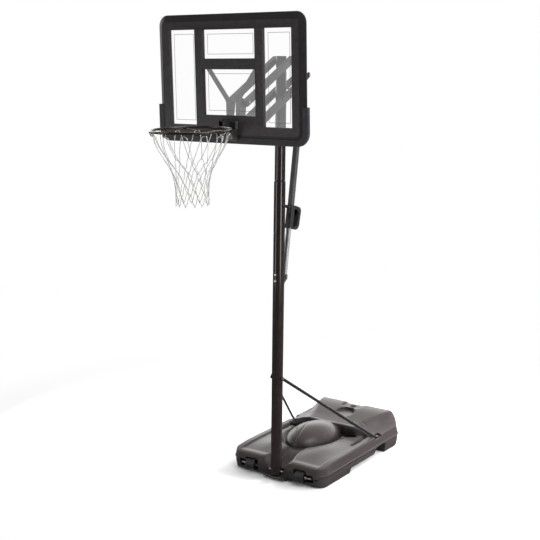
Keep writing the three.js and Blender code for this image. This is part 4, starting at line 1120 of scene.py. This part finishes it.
# ------------------------------------------------------------------ rim
def build_rim():
    """ring, mounting plate, two support rods and the net hooks in one piece"""
    plate_z = RIM_Z - RIM_ROD - 4
    seg = 128
    circle = [
        Vector((RIM_R * cos(2 * pi * i / seg), RIM_Y + RIM_R * sin(2 * pi * i / seg), RIM_Z)) * MM
        for i in range(seg)]
    rim = tube("rim_ring_v", circle, RIM_ROD, 20, closed=True)

    neck_y, front_y = BOARD_FRONT - 62, RIM_Y + 218
    outline = [(-58, BOARD_FRONT - 7.5), (58, BOARD_FRONT - 7.5), (66, neck_y),
               (96, front_y), (-96, front_y), (-66, neck_y)]
    plate = prism(outline, plate_z - 5.4, plate_z - 0.9, "z")
    for _, k in SIDES:
        boolean(plate, cylinder("z", 5.4, 40, (k * SPRING_X, SPRING_Y, plate_z), 24))
    bevel(plate, 0.0008, 2, 40)
    boolean(rim, plate, "UNION")

    for _, k in SIDES:
        path = smooth_path([
            (k * 50, BOARD_FRONT - 78, plate_z - 8), (k * 96, BOARD_FRONT - 108, plate_z - 14),
            (k * 152, BOARD_FRONT - 158, plate_z - 9), (k * 197, RIM_Y + 128, RIM_Z - 6)], 10)
        boolean(rim, tube("rod", path, 5, 14), "UNION")

    for i in range(HOOKS):
        a = i * pi / 6
        center = Vector((cos(a) * RIM_R, RIM_Y + sin(a) * RIM_R, HOOK_Z))
        outward = Vector((cos(a), sin(a), 0))
        turns = [2 * pi * j / 28 for j in range(28)]
        loop = [(center + outward * (HOOK_R * cos(t)) + Vector((0, 0, HOOK_R * sin(t)))) * MM
                for t in turns]
        boolean(rim, tube("hook", loop, 2.4, 10, closed=True), "UNION")
    clean(rim, dissolve=0)
    shade(rim, 40)
    finish(rim, "rim", "rim_ring", M_RIM)


def build_spring(side, k):
    """compression spring on the rim bolt, its end coils flat"""
    x, y = k * SPRING_X, SPRING_Y
    bottom, top = 2375.6, 2417.0 - 0.6
    wire, coil, turns, end_gap = 2.4, 10.5, 4.2, 0.6
    steps = int(turns * 28)
    rise = top - bottom - 2 * wire - 2 * end_gap
    points = []
    for i in range(steps + 1):
        turn = i / steps * turns
        a = turn * 2 * pi
        climb = min(max((turn - 0.4) / (turns - 0.8), 0), 1)
        z = bottom + wire + end_gap + rise * climb
        points.append(Vector((x + coil * cos(a), y + coil * sin(a), z)) * MM)
    name = "rim_spring_" + side
    spring = tube(name + "_v", points, wire, 12)
    spring.data.materials.append(M_ZINC)
    flatten_normals(spring)
    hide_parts(name)
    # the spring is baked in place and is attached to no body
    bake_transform(spring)


build_rim()
copy_cad("rim_bracket", "backboard", "arm_paint", M_BRACKET, 0.0012)
for side, k in SIDES:
    build_spring(side, k)
    copy_bolt("rim_spring_bolt_" + side, "rim", 0.0006)


# ------------------------------------------------------------------ net
NET_TOP, NET_LENGTH = RIM_Z - RIM_ROD - 17, 420.0
NET_TOP_R, NET_BOTTOM_R = 222.0, 101.0
NET_ROWS = [0.0, 0.37, 0.52, 0.68, 0.84, 1.0]  # share of the length; the first is the hooks
CORD_R, TAIL_R, KNOT_R = 2.15, 2.0, 3.9


def net_point(angle, t, out=0.0):
    """point on the net at share t of its length, pushed outwards by out"""
    flare = cos(min(max(t, 0.0), 1.0) * pi / 2) ** 4.6
    r = NET_BOTTOM_R + (NET_TOP_R - NET_BOTTOM_R) * flare - 2.6 + out
    return Vector((r * cos(angle), RIM_Y + r * sin(angle), NET_TOP - t * NET_LENGTH))


def turn_between(start, end):
    """the shorter turn from one angle to another"""
    return (end - start + pi) % (2 * pi) - pi


def place_knots(rng):
    """(angle, t) of every join by row; odd rows sit between the hooks"""
    rows = [[(i * 2 * pi / HOOKS, 0.0) for i in range(HOOKS)]]
    for row, t in list(enumerate(NET_ROWS))[1:]:
        offset = 0.5 if row % 2 == 1 else 1.0
        line = []
        for i in range(HOOKS):
            angle = (i + offset) * 2 * pi / HOOKS + rng.normal(0, 0.035)
            line.append((angle, min(t + rng.normal(0, 0.010), 0.985)))
        rows.append(line)
    return rows


def hook_cords(knots, rng):
    """a wide loop on every hook, its two legs running down to the first joins"""
    cords = []
    for i in range(HOOKS):
        a0 = knots[0][i][0]
        start = Vector((cos(a0) * 232.5, RIM_Y + sin(a0) * 232.5, HOOK_Z - HOOK_R + 4.6))
        tangent = Vector((-sin(a0), cos(a0), 0))
        for way, j in ((-1, (i - 1) % HOOKS), (1, i)):
            a1, t1 = knots[1][j]
            turn = turn_between(a0, a1)
            width = 19 + rng.normal(0, 1.6)
            inward = Vector((-cos(a0) * 4, -sin(a0) * 4, -7.0))
            points = [start.copy(), start + tangent * (way * 9.0) + Vector((0, 0, -1.2)),
                      start + tangent * (way * (width - 3.5)) + inward]
            spread = way * (width / 226.0)
            for u in np.linspace(0.06, 1, 8):
                angle = a0 + spread + (turn - spread) * u ** 1.15
                points.append(net_point(angle, t1 * u, -1.2 * sin(pi * u)))
            cords.append(points)
    return cords


def mesh_cords(knots, rng):
    """two cords from every join down to its neighbours in the next row"""
    cords = []
    for row in range(1, len(NET_ROWS) - 1):
        for i in range(HOOKS):
            a0, t0 = knots[row][i]
            for j in ((i - 1) % HOOKS, i) if row % 2 == 1 else (i, (i + 1) % HOOKS):
                a1, t1 = knots[row + 1][j]
                turn = turn_between(a0, a1)
                bow = rng.normal(0, 0.010)
                points = []
                for u in np.linspace(0, 1, 7):
                    swing = u + 0.10 * sin(2 * pi * u)
                    angle = a0 + turn * swing + bow * sin(pi * u)
                    points.append(net_point(angle, t0 + (t1 - t0) * u))
                cords.append(points)
    return cords


def rope(points, radius):
    """cord of three strands that turn along its length"""
    path = smooth_path(points, 5)
    run = [0.0]
    for start, end in zip(path[:-1], path[1:]):
        run.append(run[-1] + (end - start).length / MM)

    def strands(i, angle):
        return 1.0 + 0.13 * cos(3 * (angle + run[i] * 0.42))

    return tube_mesh(path, radius, 9, swell=strands)


def knot(center, r):
    """small upright wrapped lump"""
    around_count, rows = 10, 7
    z = Vector((0, 0, 1))
    x = z.orthogonal().normalized()
    y = z.cross(x)
    vertices = [(center - z * r * 1.25) * MM]
    for j in range(1, rows):
        polar = pi * j / rows
        for i in range(around_count):
            a = 2 * pi * i / around_count
            wrap = 1 + 0.12 * cos(2 * a + 5 * polar)
            out = (x * cos(a) + y * sin(a)) * (r * sin(polar) * wrap)
            vertices.append((center + out - z * (r * 1.25 * cos(polar))) * MM)
    vertices.append((center + z * r * 1.25) * MM)
    last = len(vertices) - 1
    top_row = 1 + (rows - 2) * around_count
    faces = []
    for i in range(around_count):
        j = (i + 1) % around_count
        faces.append((0, 1 + j, 1 + i))
        faces.append((last, top_row + i, top_row + j))
    for quad in skin(rows - 1, around_count):
        faces.append(tuple(1 + corner for corner in quad))
    return vertices, faces


def build_net():
    rng = np.random.default_rng(11)
    knots = place_knots(rng)
    cords = hook_cords(knots, rng) + mesh_cords(knots, rng)
    parts = [rope(points, CORD_R) for points in cords]
    for line in knots[1:]:
        for angle, t in line:
            center = net_point(angle, min(t, 0.98), -0.4)
            parts.append(knot(center, KNOT_R + rng.normal(0, 0.15)))
    # short tails under the last row
    for angle, t in knots[-1]:
        start = net_point(angle, t, -0.4)
        tail = [start + Vector((rng.normal(0, 0.5), rng.normal(0, 0.5), -5.5 * u))
                for u in np.linspace(0, 1, 4)]
        parts.append(rope(tail, TAIL_R))
    vertices, faces = [], []
    for part_vertices, part_faces in parts:
        first = len(vertices)
        vertices += part_vertices
        faces += [tuple(first + corner for corner in face) for face in part_faces]
    net = mesh_object("net_v", vertices, faces, 60)
    finish(net, "rim", "net", M_NET, weighted=False)


build_net()


# ------------------------------------------------------------------ floor
def floor_material():
    """white paper, dim when mirrored in gloss and pure white away from the object"""
    material, g = new_material("floor_white")
    position = g.node("NewGeometry").outputs["Position"]
    noise = g.noise(position, scale=0.6, detail=3.0)
    paper = g.node("BsdfPrincipled", {
        "Base Color": g.ramp(noise, (0.3, grey(0.86)), (0.7, grey(0.90))),
        "Roughness": 0.8,
        "Specular IOR Level": 0.2,
    }).outputs[0]
    rays = g.node("LightPath").outputs
    dim = g.emission((0.07, 0.068, 0.07, 1))
    floor = g.mix_shaders(rays["Is Glossy Ray"], paper, dim)
    # fades to white from 1.2 m out, over 2.2 m
    distance = g.node("VectorMath", {0: position}, operation="LENGTH").outputs["Value"]
    far = g.math("MULTIPLY_ADD", distance, 1 / 2.2, -1.2 / 2.2, clamp=True)
    far = g.math("MULTIPLY", far, rays["Is Camera Ray"])
    g.node("OutputMaterial", {0: g.mix_shaders(far, floor, g.emission(grey(1.0)))})
    return material


def build_floor():
    mesh = bpy.data.meshes.new("floor")
    corners = [(-60, -60, 0), (60, -60, 0), (60, 60, 0), (-60, 60, 0)]  # metres
    mesh.from_pydata(corners, [], [(0, 1, 2, 3)])
    floor = link_object("floor", mesh)
    mesh.polygons.foreach_set("use_smooth", [True])
    mesh.materials.append(floor_material())


build_floor()

# ------------------------------------------------------------------ lights
VIEW_AZIMUTH = 36.1  # degrees, the viewer's side of the stand


def around(azimuth, distance, z):
    """place in metres; azimuth 0 is in front (-Y), growing towards +X"""
    a = math.radians(azimuth)
    return (distance * sin(a), -distance * cos(a), z)


def area_light(name, place, target, width, height, watts, glossy=True):
    """rectangular light aimed at a target, unseen by the camera"""
    light = bpy.data.lights.new(name, "AREA")
    light.shape = "RECTANGLE"
    light.size, light.size_y = width, height
    light.energy = watts
    lamp = link_object(name, light)
    lamp.location = place
    aim = Vector(target) - Vector(place)
    lamp.rotation_euler = aim.to_track_quat("-Z", "Y").to_euler()
    lamp.visible_glossy = glossy
    lamp.visible_camera = False


area_light("key_top", around(azimuth=80, distance=3.2, z=6.8), target=(0, 0.2, 0.6),
           width=4.0, height=4.0, watts=190)
area_light("back_top", around(azimuth=205, distance=5.0, z=5.5), target=(0, 0.3, 1.0),
           width=6.0, height=3.0, watts=190, glossy=False)
# the two streaks show as highlights along the pole
area_light("streak_a", around(azimuth=VIEW_AZIMUTH + 34, distance=3.2, z=1.58),
           target=(0, 0.1, 1.58), width=0.9, height=1.40, watts=17)
area_light("streak_b", around(azimuth=VIEW_AZIMUTH - 71, distance=3.2, z=1.60),
           target=(0, 0.1, 1.60), width=1.2, height=1.40, watts=11)
area_light("low_right", around(azimuth=120, distance=2.6, z=1.25), target=(0.2, 0.75, 0.1),
           width=1.8, height=0.9, watts=82, glossy=False)
area_light("rear_deck", around(azimuth=165, distance=2.2, z=1.7), target=(0.22, 0.95, 0.2),
           width=0.9, height=0.5, watts=58, glossy=False)
area_light("low_left", around(azimuth=-82, distance=2.4, z=0.8), target=(-0.3, 0.2, 0.1),
           width=1.2, height=0.7, watts=22, glossy=False)


# ------------------------------------------------------------------ world
def build_world():
    """white to the camera; brighter behind the object for reflections and for soft light"""
    world = bpy.data.worlds.new("studio")
    bpy.context.scene.world = world
    g = Graph(world)
    direction = g.node("TexCoord").outputs["Generated"]
    height = g.node("SeparateXYZ", {0: direction}).outputs["Z"]
    # share of "behind the object, away from the viewer" in a direction, 0 to 1
    view = math.radians(VIEW_AZIMUTH)
    away = (-sin(view), cos(view), 0.0)
    facing = g.node("VectorMath", {0: direction, 1: away}, operation="DOT_PRODUCT")
    behind = g.math("MULTIPLY_ADD", facing.outputs["Value"], 0.5, 0.5, clamp=True)

    mirrored_color = g.ramp(
        behind, (0.0, (0.03, 0.03, 0.031, 1)), (0.45, (0.035, 0.034, 0.035, 1)),
        (0.66, grey(0.3)), (0.82, grey(0.85)), (1.0, grey(1.0)))
    # reflections darken above a band near the horizon
    band = g.node("MapRange", {
        "Value": height, "From Min": 0.31, "From Max": 0.60, "To Min": 1.0, "To Max": 0.12,
    }, interpolation_type="SMOOTHSTEP").outputs["Result"]
    reflected = g.node("Background", {
        "Color": mirrored_color, "Strength": g.math("MULTIPLY", band, 2.5)}).outputs[0]

    level = g.math("MULTIPLY_ADD", height, 0.5, 0.5, clamp=True)
    by_height = g.ramp(level, (0.0, grey(0.6)), (0.5, (0.75, 0.75, 0.76, 1)), (1.0, grey(1.15)))
    by_side = g.ramp(behind, (0.0, grey(0.30)), (0.35, grey(0.45)),
                     (0.7, grey(1.2)), (1.0, grey(1.5)))
    diffuse = g.node("Background", {
        "Color": g.mix(1.0, by_height, by_side, "MULTIPLY"), "Strength": 0.42}).outputs[0]

    seen = g.node("Background", {"Color": grey(1.0), "Strength": 1.0}).outputs[0]
    rays = g.node("LightPath").outputs
    studio = g.mix_shaders(rays["Is Glossy Ray"], diffuse, reflected)
    g.node("OutputWorld", {0: g.mix_shaders(rays["Is Camera Ray"], studio, seen)})


build_world()


# ------------------------------------------------------------------ camera
def build_camera(place, azimuth, pitch_down, roll, lens):
    """camera at a place in metres; angles in degrees, azimuth turning it towards -X"""
    data = bpy.data.cameras.new("cam")
    camera = link_object("cam", data)
    azimuth, pitch, roll = map(math.radians, (azimuth, pitch_down, roll))
    ahead = Vector((-sin(azimuth) * cos(pitch), cos(azimuth) * cos(pitch), -sin(pitch)))
    level = Vector((cos(azimuth), sin(azimuth), 0))
    upward = level.cross(ahead)
    right = cos(roll) * level + sin(roll) * upward
    up = -sin(roll) * level + cos(roll) * upward
    axes = Matrix((right, up, -ahead)).transposed().to_4x4()
    camera.matrix_world = Matrix.Translation(place) @ axes
    data.sensor_width = 36
    data.lens = lens
    data.clip_end = 100
    bpy.context.scene.camera = camera


build_camera(place=(4.1212, -5.6826, 2.9362), azimuth=36.102, pitch_down=11.837, roll=-0.916,
             lens=72.47258)
bpy.context.scene.view_settings.view_transform = "Standard"
